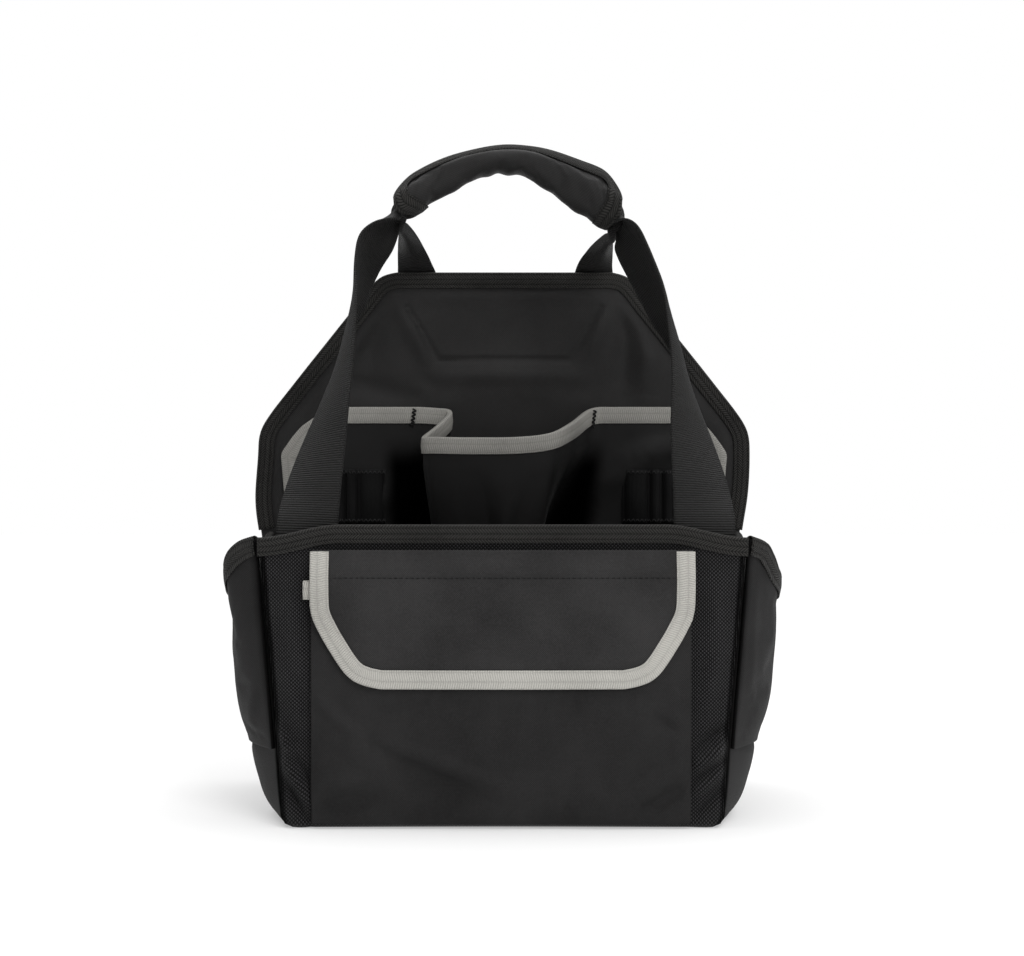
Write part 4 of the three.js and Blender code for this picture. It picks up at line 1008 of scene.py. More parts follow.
def weave_group():
    """Plain weave: yarns pass over and under each other in turn"""
    graph, given, result = new_group(
        "plain_weave", [("Cloth", "NodeSocketVector", None), ("Yarn", "NodeSocketFloat", 0.7)],
        WOVEN_OUTPUTS)
    flat = graph.node("ShaderNodeSeparateXYZ", {"Vector": given["Cloth"]}).outputs
    yarn = graph.math("MULTIPLY", given["Yarn"], MM)
    x = graph.math("DIVIDE", flat["X"], yarn)
    y = graph.math("DIVIDE", flat["Y"], yarn)
    across, up = graph.hump(x), graph.hump(y)
    odd = graph.math("FLOORED_MODULO", graph.math("ADD", graph.math("FLOOR", x), graph.math("FLOOR", y)), 2.0)
    warp = graph.math("MULTIPLY", across, graph.math("MULTIPLY_ADD", up, 0.65, 0.35))
    weft = graph.math("MULTIPLY", up, graph.math("MULTIPLY_ADD", across, 0.65, 0.35))
    over = graph.math("MULTIPLY", warp, graph.math("SUBTRACT", 1.0, odd))
    under = graph.math("MULTIPLY", weft, odd)
    graph.feed(result["Height"], graph.math("ADD", over, under))
    graph.feed(result["Crown"], over)
    return graph.tree


def rib_group():
    """Webbing: ribs across its width, each made of yarns laid side by side"""
    graph, given, result = new_group(
        "ribs", [("Cloth", "NodeSocketVector", None), ("Rib", "NodeSocketFloat", 1.4),
                 ("Yarn", "NodeSocketFloat", 0.9)],
        WOVEN_OUTPUTS)
    flat = graph.node("ShaderNodeSeparateXYZ", {"Vector": given["Cloth"]}).outputs
    ribs = graph.math("DIVIDE", flat["X"], graph.math("MULTIPLY", given["Rib"], MM))
    yarns = graph.math("DIVIDE", flat["Y"], graph.math("MULTIPLY", given["Yarn"], MM))
    odd = graph.math("FLOORED_MODULO", graph.math("FLOOR", ribs), 2.0)
    shifted = graph.math("MULTIPLY_ADD", odd, 0.5, yarns)
    twist = graph.math("MULTIPLY_ADD", graph.hump(shifted), 0.3, 0.7)
    height = graph.math("MULTIPLY", graph.hump(ribs), twist)
    graph.feed(result["Height"], height)
    graph.feed(result["Crown"], graph.math("POWER", height, 2.0))
    return graph.tree


def herringbone_group():
    """Tape: slanted ridges that change direction from row to row"""
    graph, given, result = new_group(
        "herringbone", [("Cloth", "NodeSocketVector", None), ("Row", "NodeSocketFloat", 3.0),
                        ("Ridge", "NodeSocketFloat", 1.1), ("Slant", "NodeSocketFloat", 1.2)],
        WOVEN_OUTPUTS)
    flat = graph.node("ShaderNodeSeparateXYZ", {"Vector": given["Cloth"]}).outputs
    wide = graph.math("MULTIPLY", given["Row"], MM)
    rows = graph.math("DIVIDE", flat["Y"], wide)
    swing = graph.math("ABSOLUTE", graph.math("SUBTRACT", graph.math("FLOORED_MODULO", rows, 2.0), 1.0))
    slant = graph.math("MULTIPLY_ADD", swing, graph.math("MULTIPLY", wide, given["Slant"]), flat["X"])
    ridges = graph.hump(graph.math("DIVIDE", slant, graph.math("MULTIPLY", given["Ridge"], MM)))
    row = graph.math("POWER", graph.hump(rows), 0.35)
    height = graph.math("MULTIPLY", graph.math("MULTIPLY_ADD", ridges, 0.75, 0.25), row)
    graph.feed(result["Height"], height)
    graph.feed(result["Crown"], graph.math("MULTIPLY", ridges, row))
    return graph.tree


def wear_group():
    """Uneven tone of used cloth: broad cloudy patches and a fine grain"""
    graph, given, result = new_group(
        "cloth_tone", [("Place", "NodeSocketVector", None), ("Patch", "NodeSocketFloat", 18.0),
                       ("Grain", "NodeSocketFloat", 900.0)],
        [("Tone", "NodeSocketFloat"), ("Fuzz", "NodeSocketFloat")])
    cloud = graph.node("ShaderNodeTexNoise", {
        "Vector": given["Place"], "Scale": given["Patch"], "Detail": 4.0, "Roughness": 0.55}).outputs["Fac"]
    grain = graph.node("ShaderNodeTexNoise", {
        "Vector": given["Place"], "Scale": given["Grain"], "Detail": 2.0, "Roughness": 0.6}).outputs["Fac"]
    graph.feed(result["Tone"], graph.math("ADD", graph.math("MULTIPLY", cloud, 0.6),
                                          graph.math("MULTIPLY", grain, 0.4)))
    graph.feed(result["Fuzz"], grain)
    return graph.tree


def new_finish(name):
    material = bpy.data.materials.new(f"{name}_finish")
    material.use_nodes = True
    material.node_tree.nodes.clear()
    return Graph(material.node_tree)


def cloth_material(name, colour, pattern, sizes, relief, roughness, tones=(0.6, 1.5), gain=0.5, base=0.3,
                   sheen=0.04, shine=0.2, paints_shade=False):
    """Woven cloth: its pattern raises it and paints highlight on the yarn crowns and shade between the yarns,
    its tone is uneven, and where asked a painted shade darkens it in pleats and along seams
    """
    graph = new_finish(name)
    cloth = graph.node("ShaderNodeUVMap", uv_map="cloth").outputs["UV"]
    place = graph.node("ShaderNodeTexCoord").outputs["Object"]
    woven = graph.node("ShaderNodeGroup", node_tree=bpy.data.node_groups[pattern])
    graph.feed(woven.inputs["Cloth"], cloth)
    for socket, value in sizes.items():
        woven.inputs[socket].default_value = value
    tone = graph.node("ShaderNodeGroup", node_tree=bpy.data.node_groups["cloth_tone"])
    graph.feed(tone.inputs["Place"], place)
    # Painted highlight and shade: the weave's crown mask lightens the colour on the top yarns and leaves it
    # dark between them
    raised = graph.math("MULTIPLY_ADD", woven.outputs["Crown"], gain, base)
    uneven = graph.math("MULTIPLY_ADD", tone.outputs["Tone"], TONE_GAIN, TONE_BASE)
    level = graph.math("MULTIPLY", raised, uneven)
    dark, light = ([min(1, channel * share) for channel in colour] + [1] for share in tones)
    shade = graph.node("ShaderNodeMix", data_type="RGBA")
    graph.feed(shade.inputs["Factor"], level)
    shade.inputs[MIX_A].default_value = dark
    shade.inputs[MIX_B].default_value = light
    tint, gloss = shade.outputs[MIX_OUT], shine
    # Painted shade: a per-point attribute mixes the colour towards black and damps the gloss in pleats and
    # along seams
    if paints_shade:
        deep = graph.node("ShaderNodeAttribute", attribute_name="deep").outputs["Fac"]
        shadow = graph.node("ShaderNodeMix", data_type="RGBA")
        graph.feed(shadow.inputs["Factor"], deep)
        graph.feed(shadow.inputs[MIX_A], tint)
        shadow.inputs[MIX_B].default_value = (0, 0, 0, 1)
        tint = shadow.outputs[MIX_OUT]
        gloss = graph.math("MULTIPLY", graph.math("SUBTRACT", 1.0, deep), shine)
    rough = graph.node("ShaderNodeMapRange", {
        "Value": tone.outputs["Fuzz"],
        "To Min": roughness - ROUGH_SPREAD, "To Max": roughness + ROUGH_SPREAD})
    fuzz = graph.math("MULTIPLY", tone.outputs["Fuzz"], FUZZ_RELIEF)
    height = graph.math("ADD", woven.outputs["Height"], fuzz)
    bump = graph.node("ShaderNodeBump", {"Strength": 1.0, "Distance": relief * MM, "Height": height})
    shader = graph.node("ShaderNodeBsdfPrincipled", {
        "Base Color": tint, "Roughness": rough.outputs["Result"], "Normal": bump.outputs["Normal"],
        "Specular IOR Level": gloss, "Sheen Weight": sheen, "Sheen Roughness": 0.45})
    graph.node("ShaderNodeOutputMaterial", {"Surface": shader.outputs["BSDF"]})


def metal_material(name, colour):
    graph = new_finish(name)
    place = graph.node("ShaderNodeTexCoord").outputs["Object"]
    haze = graph.node("ShaderNodeTexNoise", {"Vector": place, "Scale": 700.0, "Detail": 3.0}).outputs["Fac"]
    rough = graph.node("ShaderNodeMapRange", {"Value": haze, "To Min": 0.18, "To Max": 0.42})
    bump = graph.node("ShaderNodeBump", {"Strength": 0.3, "Distance": 0.05 * MM, "Height": haze})
    shader = graph.node("ShaderNodeBsdfPrincipled", {
        "Base Color": (*colour, 1), "Metallic": 1.0, "Roughness": rough.outputs["Result"],
        "Normal": bump.outputs["Normal"]})
    graph.node("ShaderNodeOutputMaterial", {"Surface": shader.outputs["BSDF"]})


class PieceOperator(bpy.types.Operator):
    """What all operators of the bag share"""

    bl_options = {"REGISTER", "UNDO"}


class BAG_OT_stage(PieceOperator):
    """Set up the floor, the light and the camera"""

    bl_idname = "bag.set_stage"
    bl_label = "Set stage"

    def stand(self, context, name, data):
        thing = bpy.data.objects.new(name, data)
        context.scene.collection.objects.link(thing)
        return thing

    def add_floor(self, context, shade, glow):
        bm = bmesh.new()
        bmesh.ops.create_grid(bm, x_segments=2, y_segments=2, size=FLOOR_REACH)
        mesh = mesh_of(bm, "floor")
        floor = self.stand(context, "floor", mesh)
        paint = bpy.data.materials.new("floor_paint")
        paint.use_nodes = True
        shader = paint.node_tree.nodes["Principled BSDF"]
        shader.inputs["Base Color"].default_value = (*shade, 1)
        shader.inputs["Roughness"].default_value = 0.9
        shader.inputs["Emission Color"].default_value = (1, 1, 1, 1)
        shader.inputs["Emission Strength"].default_value = glow
        shader.inputs["Specular IOR Level"].default_value = 0.1
        mesh.materials.append(paint)

    def add_sky(self, context, strength):
        """A white backdrop for the camera and a weak even light for the bag"""
        world = bpy.data.worlds.new("studio")
        context.scene.world = world
        world.use_nodes = True
        world.node_tree.nodes.clear()
        graph = Graph(world.node_tree)
        seen = graph.node("ShaderNodeLightPath").outputs["Is Camera Ray"]
        light = graph.node("ShaderNodeMapRange", {"Value": seen, "To Min": strength, "To Max": 1.0})
        sky = graph.node("ShaderNodeBackground", {"Strength": light.outputs["Result"], "Color": (1, 1, 1, 1)})
        graph.node("ShaderNodeOutputWorld", {"Surface": sky.outputs["Background"]})

    def add_lights(self, context, top, front):
        overcast = bpy.data.lights.new("top_light", "SUN")
        overcast.energy = top
        overcast.angle = SUN_SPREAD
        self.stand(context, "top_light", overcast).rotation_euler = SUN_TURN
        lamp = bpy.data.lights.new("front_light", "AREA")
        lamp.shape = "RECTANGLE"
        lamp.size = lamp.size_y = FRONT_LIGHT_SIZE
        lamp.energy = front
        holder = self.stand(context, "front_light", lamp)
        holder.location = FRONT_LIGHT_SPOT
        holder.rotation_mode = "QUATERNION"
        aim = Vector(FRONT_LIGHT_AIM) - Vector(FRONT_LIGHT_SPOT)
        holder.rotation_quaternion = aim.to_track_quat("-Z", "Y")

    def execute(self, context):
        stage = context.scene.tool_bag_stage
        self.add_floor(context, context.scene.tool_bag_colours.floor, stage.floor_glow)
        self.add_sky(context, stage.sky)
        self.add_lights(context, stage.top_light, stage.front_light)
        lens = bpy.data.cameras.new("camera")
        lens.sensor_width = SENSOR_WIDTH
        lens.lens = stage.lens
        eye = self.stand(context, "camera", lens)
        eye.location = (stage.eye_side, SHIFT_Y * MM - stage.eye_distance, stage.eye_height)
        eye.rotation_euler = (math.pi / 2, 0, 0)
        context.scene.camera = eye
        context.scene.view_settings.view_transform = "Standard"
        return {"FINISHED"}


class BAG_OT_finishes(PieceOperator):
    """Make the cloth, tape, webbing, thread and metal finishes"""

    bl_idname = "bag.make_finishes"
    bl_label = "Make finishes"

    def execute(self, context):
        colours = context.scene.tool_bag_colours
        weave_group()
        rib_group()
        herringbone_group()
        wear_group()
        smooth_weave = dict(pattern="plain_weave", sizes={"Yarn": 0.66}, relief=0.10, roughness=0.68,
                            tones=(0.1, 2.2), base=0.42, sheen=0.01, shine=0.14)
        grey_weave = dict(pattern="herringbone", sizes={"Row": 5.6, "Ridge": 1.45, "Slant": 0.22},
                          relief=0.3, roughness=0.8, tones=(0.66, 1.32), gain=0.75)
        twist = dict(pattern="ribs", sizes={"Rib": 0.4, "Yarn": 0.4}, relief=0.02, roughness=0.6)
        # The smooth, coarse and lining cloths take painted shade in pleats and along seams
        cloth_material("smooth_cloth", colours.smooth_cloth, **smooth_weave, paints_shade=True)
        # Painted light: a lighter copy of the smooth cloth for the flap
        cloth_material("flap_lit_cloth", [FLAP_PAINTED_LIGHT * part for part in colours.smooth_cloth], **smooth_weave)
        cloth_material("coarse_cloth", colours.coarse_cloth, "plain_weave", {"Yarn": 1.13}, relief=0.5,
                       roughness=0.42, tones=(0.01, 4.2), gain=1.3, base=-0.03, shine=0.14, paints_shade=True)
        cloth_material("padded_cloth", colours.padded_cloth, "plain_weave", {"Yarn": 0.74}, relief=0.12,
                       roughness=0.52, tones=(0.3, 2.0), shine=0.18)
        cloth_material("lining_cloth", colours.lining_cloth, "plain_weave", {"Yarn": 0.74}, relief=0.12,
                       roughness=0.46, paints_shade=True)
        cloth_material("webbing", colours.webbing, "ribs", {"Rib": 1.55, "Yarn": 0.9}, relief=0.42,
                       roughness=0.55, tones=(0.08, 2.2), gain=1.0, base=0.05)
        cloth_material("elastic", colours.elastic, "ribs", {"Rib": 0.9, "Yarn": 0.7}, relief=0.14,
                       roughness=0.6, shine=0.12)
        cloth_material("black_tape", colours.black_tape, "herringbone",
                       {"Row": 3.4, "Ridge": 1.9, "Slant": 1.0}, relief=0.8, roughness=0.6,
                       tones=(0.02, 5.0), gain=1.1, base=0.0, shine=0.1)
        cloth_material("grey_tape", colours.grey_tape, **grey_weave, sheen=0.05)
        # Painted shade: a darker copy of the grey tape for the tape inside the bag
        cloth_material("inner_shaded_tape", [INNER_TAPE_PAINTED_SHADE * part for part in colours.grey_tape], **grey_weave)
        cloth_material("loop_thread", [LOOP_THREAD_LIGHTER * part for part in colours.thread], **twist)
        cloth_material("thread", colours.thread, **twist)
        metal_material("stud_metal", colours.metal)
        return {"FINISHED"}


class BAG_OT_base(PieceOperator):
    """Make the cloth-covered base board and its metal feet"""

    bl_idname = "bag.make_base"
    bl_label = "Make base and feet"

    def make_board(self):
        bm = bmesh.new()
        depth = BASE_BACK_Y - BASE_FRONT_Y - 2 * BASE_INSET
        centre = (0, (BASE_FRONT_Y + BASE_BACK_Y) / 2 + SHIFT_Y, BASE_BOTTOM_Z + BASE_THICK / 2)
        size = Matrix.Diagonal((2 * BASE_HALF_WIDTH * MM, depth * MM, BASE_THICK * MM, 1))
        bmesh.ops.create_cube(bm, size=1, matrix=Matrix.Translation(Vector(centre) * MM) @ size)
        upright = [e for e in bm.edges if abs(e.verts[0].co.z - e.verts[1].co.z) > MM]
        bmesh.ops.bevel(bm, geom=upright, offset=BASE_CORNER * MM, segments=8, profile=0.5, material=-1,
                        affect="EDGES")
        level = [e for e in bm.edges if abs(e.verts[0].co.z - e.verts[1].co.z) < 1e-6
                 and len({round(f.normal.z) for f in e.link_faces}) == 2]
        bmesh.ops.bevel(bm, geom=level, offset=BASE_EDGE_ROUND * MM, segments=4, profile=0.5, material=-1,
                        affect="EDGES")
        cloth = bm.loops.layers.uv.new("cloth")
        for face in bm.faces:
            for corner in face.loops:
                corner[cloth].uv = corner.vert.co.xy
        mesh = mesh_of(bm, "base_board")
        mesh.shade_smooth()
        add_piece(mesh, "coarse_cloth", "base_panel", slot="base_cloth")

    def make_foot(self, name, x, y):
        bm = bmesh.new()
        spots = [bm.verts.new(Vector((x + r, y + SHIFT_Y, z)) * MM) for r, z in FOOT_PROFILE]
        wire = [bm.edges.new(pair) for pair in zip(spots, spots[1:])]
        bmesh.ops.spin(bm, geom=spots + wire, cent=Vector((x, y + SHIFT_Y, 0)) * MM, axis=(0, 0, 1),
                       angle=2 * math.pi, steps=32, use_merge=True)
        bmesh.ops.remove_doubles(bm, verts=bm.verts, dist=1e-6)
        bmesh.ops.contextual_create(bm, geom=[e for e in bm.edges if e.is_boundary])
        bmesh.ops.recalc_face_normals(bm, faces=bm.faces)
        mesh = mesh_of(bm, f"stud_{name}")
        mesh.shade_smooth()
        mesh.set_sharp_from_angle(angle=math.radians(50))
        add_piece(mesh, "stud_metal", f"foot_{name}")

    def execute(self, context):
        self.make_board()
        for name, (x, y) in FOOT_SPOTS.items():
            self.make_foot(name, x, y)
        return {"FINISHED"}


class BAG_OT_front_wall(PieceOperator):
    """Make the coarse front wall and the binding on its rim"""

    bl_idname = "bag.make_front_wall"
    bl_label = "Make front wall"

    def execute(self, context):
        sizes = context.scene.tool_bag_sizes

        def flat(u, v):
            level = mix(WALL_BOTTOM_Z, RIM_MIDDLE_Z, v)
            x = (2 * u - 1) * read(FRONT_ROWS, "z", level, "half")
            return x, mix(WALL_BOTTOM_Z, rim_height(x), v)

        def inset(x, z):
            return read(FRONT_ROWS, "z", z, "half") - np.abs(x)

        def relief(x, z):
            clear = smooth((np.abs(x) - POCKET_RIGHT_X + 2) / 8) * smooth((RIM_MIDDLE_Z - z - 12) / 20)
            return (folds(FRONT_FOLDS, x, z) + 0.7 * ripple(x, z, 13, 0.6)) * clear * smooth(inset(x, z) / 6)

        wall = add_piece(lay_cloth("front_wall_cloth", 170, 100, flat, front_wall_at, relief), "coarse_cloth",
                         "front_wall")
        # Painted shade darkens the front wall's cloth along its side seams
        seam = 1 - smooth((inset(*flat_places(wall)) - SEAM_EDGE) / SEAM_SHADE)
        thicken(paint_shade(wall, seam), sizes.wall)
        x = np.linspace(RIM_HALF_WIDTH, -RIM_HALF_WIDTH, 150)
        rim = add_binding(sizes, "front_rim_tape", "front_rim_binding", np.stack([x, rim_height(x)], axis=1),
                          front_wall_at, sizes.wall / MM / 2, ridges=2)
        return {"FINISHED"}


class BAG_OT_sides(PieceOperator):
    """Make the side walls, the full pouches on them and the bindings on both"""

    bl_idname = "bag.make_sides"
    bl_label = "Make sides"

    def make_side(self, sizes, name, side):
        wall_t, pouch_t = sizes.wall / MM, sizes.pouch / MM

        def wall_at(y, z):
            return stack(side * side_reach(y, z), y, z)

        def pouch_at(y, z):
            return stack(side * pouch_reach(y, z, POUCH_RISE[name], wall_t, pouch_t), y, z)

        def swell(y, z):
            held = ease(side_share(y) / POUCH_HOLD) * ease((1 - side_share(y)) / POUCH_HOLD)
            loose = smooth((z - POUCH_BOTTOM_Z) / 14) * smooth((pouch_rim(y, name) - z - 8) / 16)
            slack = folds(POUCH_FOLDS[name], y, z) + 0.8 * ripple(y, z, 17, 1.3 * side)
            return np.maximum(slack, -1.2) * held * loose

        def depth(u):
            return mix(SIDE_FRONT_Y, SIDE_BACK_Y, u)

        def wall_flat(u, v):
            return depth(u), mix(WALL_BOTTOM_Z, side_top(depth(u)), v)

        def pouch_flat(u, v):
            return depth(u), mix(POUCH_BOTTOM_Z, pouch_rim(depth(u), name), v)

        # Painted shade along the front edge of the side wall and its pouch
        def seam(piece):
            inset = flat_places(piece)[0] - SIDE_FRONT_Y
            return paint_shade(piece, SIDE_SEAM_PAINTED_SHADE * (1 - smooth((inset - SEAM_EDGE) / SEAM_SHADE)))

        wall = add_piece(lay_cloth(f"side_cloth_{name}", 90, 80, wall_flat, wall_at), "smooth_cloth",
                         f"side_wall_{name}")
        thicken(seam(wall), sizes.wall)
        pouch = add_piece(lay_cloth(f"pouch_cloth_{name}", 90, 60, pouch_flat, pouch_at, swell, side),
                          "smooth_cloth", f"side_pouch_{name}")
        y, z = flat_places(pouch)
        share = side_share(y)
        held = np.maximum(1 - smooth((np.minimum(share, 1 - share) - 0.03) / POUCH_HOLD),
                          1 - smooth((z - POUCH_BOTTOM_Z - 2) / 5))
        held = np.maximum(held, 1 - smooth((pouch_rim(y, name) - z - 9) / 4))
        settle(seam(pouch), held, swell=-0.2 * side, slack=0.005, cap=2.0, stiff=4)
        thicken(rounder(pouch), sizes.pouch)
        y = np.linspace(*depth(np.array(SIDE_RIM_SHARES)), 90)
        rim = add_binding(sizes, f"side_rim_tape_{name}", f"side_rim_binding_{name}",
                          np.stack([y, side_top(y)], axis=1), wall_at, wall_t / 2)
        y = np.linspace(*depth(np.array(POUCH_MOUTH_SHARES)), 160)
        mouth = add_binding(sizes, f"pouch_tape_{name}", f"side_pouch_binding_{name}",
                            np.stack([y, pouch_rim(y, name)], axis=1), pouch_at, pouch_t / 2, slack=0.6)

    def execute(self, context):
        for name, side in SIDES.items():
            self.make_side(context.scene.tool_bag_sizes, name, side)
        return {"FINISHED"}


class BAG_OT_back_wall(PieceOperator):
    """Make the padded back wall, quilted near its top, and its binding"""

    bl_idname = "bag.make_back_wall"
    bl_label = "Make back wall"

    def close_pad(self, mesh, half_thick):
        """Adds the flat back of the pad and joins it to its front"""
        bm = bmesh.new()
        bm.from_mesh(mesh)
        copied = bmesh.ops.duplicate(bm, geom=bm.verts[:] + bm.edges[:] + bm.faces[:])["geom"]
        for vert in (item for item in copied if isinstance(item, bmesh.types.BMVert)):
            vert.co.y = (BACK_Y + SHIFT_Y + float(half_thick(vert.co.x / MM, vert.co.z / MM))) * MM
        bmesh.ops.reverse_faces(bm, faces=[f for f in copied if isinstance(f, bmesh.types.BMFace)])
        bmesh.ops.bridge_loops(bm, edges=[e for e in bm.edges if e.is_boundary])
        bm.to_mesh(mesh)
        bm.free()
        mesh.shade_smooth()

    def execute(self, context):
        sizes = context.scene.tool_bag_sizes
        low, top = BACK_ROWS["z"][0], BACK_ROWS["z"][-1]

        def to_edge(x, z):
            square = 1 / np.hypot(1, (back_half(z + 2) - back_half(z - 2)) / 4)
            return np.minimum((back_half(z) - np.abs(x)) * square, top - z)

        def half_thick(x, z):
            full = smooth((to_edge(x, z) - BACK_EDGE_SEAM) / BACK_EDGE_SEAM)
            seam = 1 - smooth(quilt_distance(x, z) / QUILT_SEAM_WIDTH)
            return mix(BACK_EDGE_THICK, sizes.padding / MM, full) / 2 - QUILT_SEAM_DEPTH * seam

        def quilt_at(x, z):
            return back_wall_at(x, z) - stack(0, half_thick(x, z), 0)

        mesh, u, v = grid("back_wall_pad", 130, 150)
        z = np.interp(v, [0, BACK_GRID_SHARE, 1], [low, BACK_GRID_Z, top])
        x = (2 * u - 1) * back_half(z)
        inside = (np.abs(x) < quilt_half(z)) & (z > QUILT_LOW_Z)
        quilt = -0.6 * smooth(quilt_distance(x, z) / 9) + 0.2 * ripple(x, z, 16, 1.9)
        swell = np.where(inside, quilt, folds(BACK_FOLDS, x, z) + 0.6 * ripple(x, z, 26, 0.4))
        front = back_wall_at(x, z)
        front[:, 1] -= half_thick(x, z) + swell * smooth((to_edge(x, z) - 12) / 14)
        put(mesh, front, x, z)
        wall = add_piece(mesh, "padded_cloth", "back_wall")
        held = np.maximum(1 - smooth((to_edge(x, z) - 10) / 3), 1 - smooth((z - PANEL_TOP_Z - 2) / 6))
        held = np.maximum(held, quilt_distance(x, z) < 1.4)
        held = np.where(inside, np.maximum(held, 0.9), held)
        settle(wall, held, swell=0.8, slack=0.001, cap=2.0, stiff=20)
        self.close_pad(mesh, half_thick)
        rounder(wall)
        seam = [(-QUILT_HIGH_HALF, QUILT_HIGH_Z), (-QUILT_LOW_HALF, QUILT_LOW_Z),
                (QUILT_LOW_HALF, QUILT_LOW_Z), (QUILT_HIGH_HALF, QUILT_HIGH_Z)]
        stitches = straight_stitches(quilt_at, seam, 0.1, sizes.stitch / MM)
        add_piece(sew("quilt_stitches", stitches, SEAM_THREAD), "thread", slot="black_tape")
        z = np.concatenate([np.linspace(SIDE_TOP_Z + 2, BACK_CORNER_Z, 90),
                            np.linspace(BACK_CORNER_Z, top, 16)[1:]])
        rising = np.stack([back_half(z), z], axis=1)
        over = np.stack([np.linspace(rising[-1, 0], -rising[-1, 0], 70)[1:-1], np.full(68, top)], axis=1)
        edge = np.concatenate([rising, over, (rising * [-1, 1])[::-1]])
        add_binding(sizes, "back_wall_tape", "back_wall_binding", resample(soften(edge), 2.5), back_wall_at,
                    BACK_EDGE_THICK / 2)
        return {"FINISHED"}


class BAG_OT_inner_pocket(PieceOperator):
    """Make the inner pocket panel with its middle pocket folded in pleats and the tape on its edge"""

    bl_idname = "bag.make_inner_pocket"
    bl_label = "Make inner pocket"

    def execute(self, context):
        sizes = context.scene.tool_bag_sizes

        def flat(u, v):
            return u * PANEL_LENGTH, mix(PANEL_BOTTOM_Z, panel_edge(u * PANEL_LENGTH), v)

        def relief(run, level):
            loose = smooth((level - PANEL_BOTTOM_Z) / 30) * smooth((panel_edge(run) - level - 6) / 18)
            return np.maximum(folds(PANEL_FOLDS, run, level), -0.4) * loose

        panel = add_piece(lay_cloth("inner_panel_cloth", 230, 90, flat, panel_at, relief), "lining_cloth",
                          "inner_pocket_panel", slot="smooth_cloth")
        # Painted shade darkens the panel in the pleats beside the middle pocket
        thicken(paint_shade(panel, pleat_painted_shade(*flat_places(panel))), sizes.panel)
        runs = np.linspace(0, PANEL_LENGTH, 420)
        side = np.linspace(PANEL_SIDE_Z, PANEL_CUT_Z, 24)[:-1]
        edge = np.concatenate([
            np.stack([np.zeros(23), side], axis=1), np.stack([runs, panel_edge(runs)], axis=1),
            np.stack([np.full(23, PANEL_LENGTH), side[::-1]], axis=1)])
        edge = resample(soften(resample(edge, 6)), 1.4)[::-1]
        # The tape inside the bag takes the grey tape copy with painted shade
        tape = add_grey_tape(sizes, "inner_panel_tape", "inner_pocket_tape", edge, panel_at,
                             sizes.panel / MM / 2, "inner_shaded_tape", slack=0.35)
        tacks = []
        for run in (TACK_INSET_LEFT, PANEL_LENGTH - TACK_INSET_RIGHT):
            tacks += zigzag_stitches(panel_at, (run + 1, PANEL_TOP_Z), (run - 1, PANEL_TOP_Z - TACK_HEIGHT),
                                     lift=2.8, pitch=1.4, swing=1.7)
        add_piece(sew("bar_tacks", tacks, TACK_THREAD), "thread", slot="black_tape")
        return {"FINISHED"}


class BAG_OT_tool_loops(PieceOperator):
    """Make the elastic strips that hold small tools"""

    bl_idname = "bag.make_tool_loops"
    bl_label = "Make tool loops"

    def make_strip(self, sizes, name, side):
        seams = LOOP_START_X + np.concatenate([[0], np.cumsum(LOOP_WIDTHS)])
        widths = np.array(LOOP_WIDTHS, float)
        face = PANEL_FACE_Y - PANEL_HALF_THICK - ELASTIC_HALF_THICK - LOOP_CLEAR

        def flat(u, v):
            return mix(seams[0], seams[-1], u), mix(LOOP_LOW_Z, LOOP_HIGH_Z, v)

        def loop_at(x, z):
            channel = np.clip(np.searchsorted(seams, x, side="right") - 1, 0, len(widths) - 1)
            share = clamp01((x - seams[channel]) / widths[channel])
            tube = clamp01((share - LOOP_SEAM_SHARE) / (1 - 2 * LOOP_SEAM_SHARE))
            rise = LOOP_RISE * np.sqrt(np.maximum(0, 1 - (2 * tube - 1) ** 2))
            slack = 1 + 0.12 * np.sin(z / 6 + channel * 1.7)
            return stack(side * x, face - rise * slack, z)

        strip = add_piece(lay_cloth(f"loop_strip_{name}", 140, 20, flat, loop_at), "elastic",
                          f"tool_loops_{name}", thick=sizes.elastic)
        rows = []
        for z in (LOOP_LOW_Z + 2, LOOP_HIGH_Z - 2):
            rows += zigzag_stitches(loop_at, (seams[0], z), (seams[-1], z), lift=0.7, pitch=1.5, swing=1.2,
                                    out=side)
        add_piece(sew(f"loop_stitches_{name}", rows, LOOP_THREAD), "loop_thread", slot="elastic")

    def execute(self, context):
        for name, side in SIDES.items():
            self.make_strip(context.scene.tool_bag_sizes, name, side)
        return {"FINISHED"}


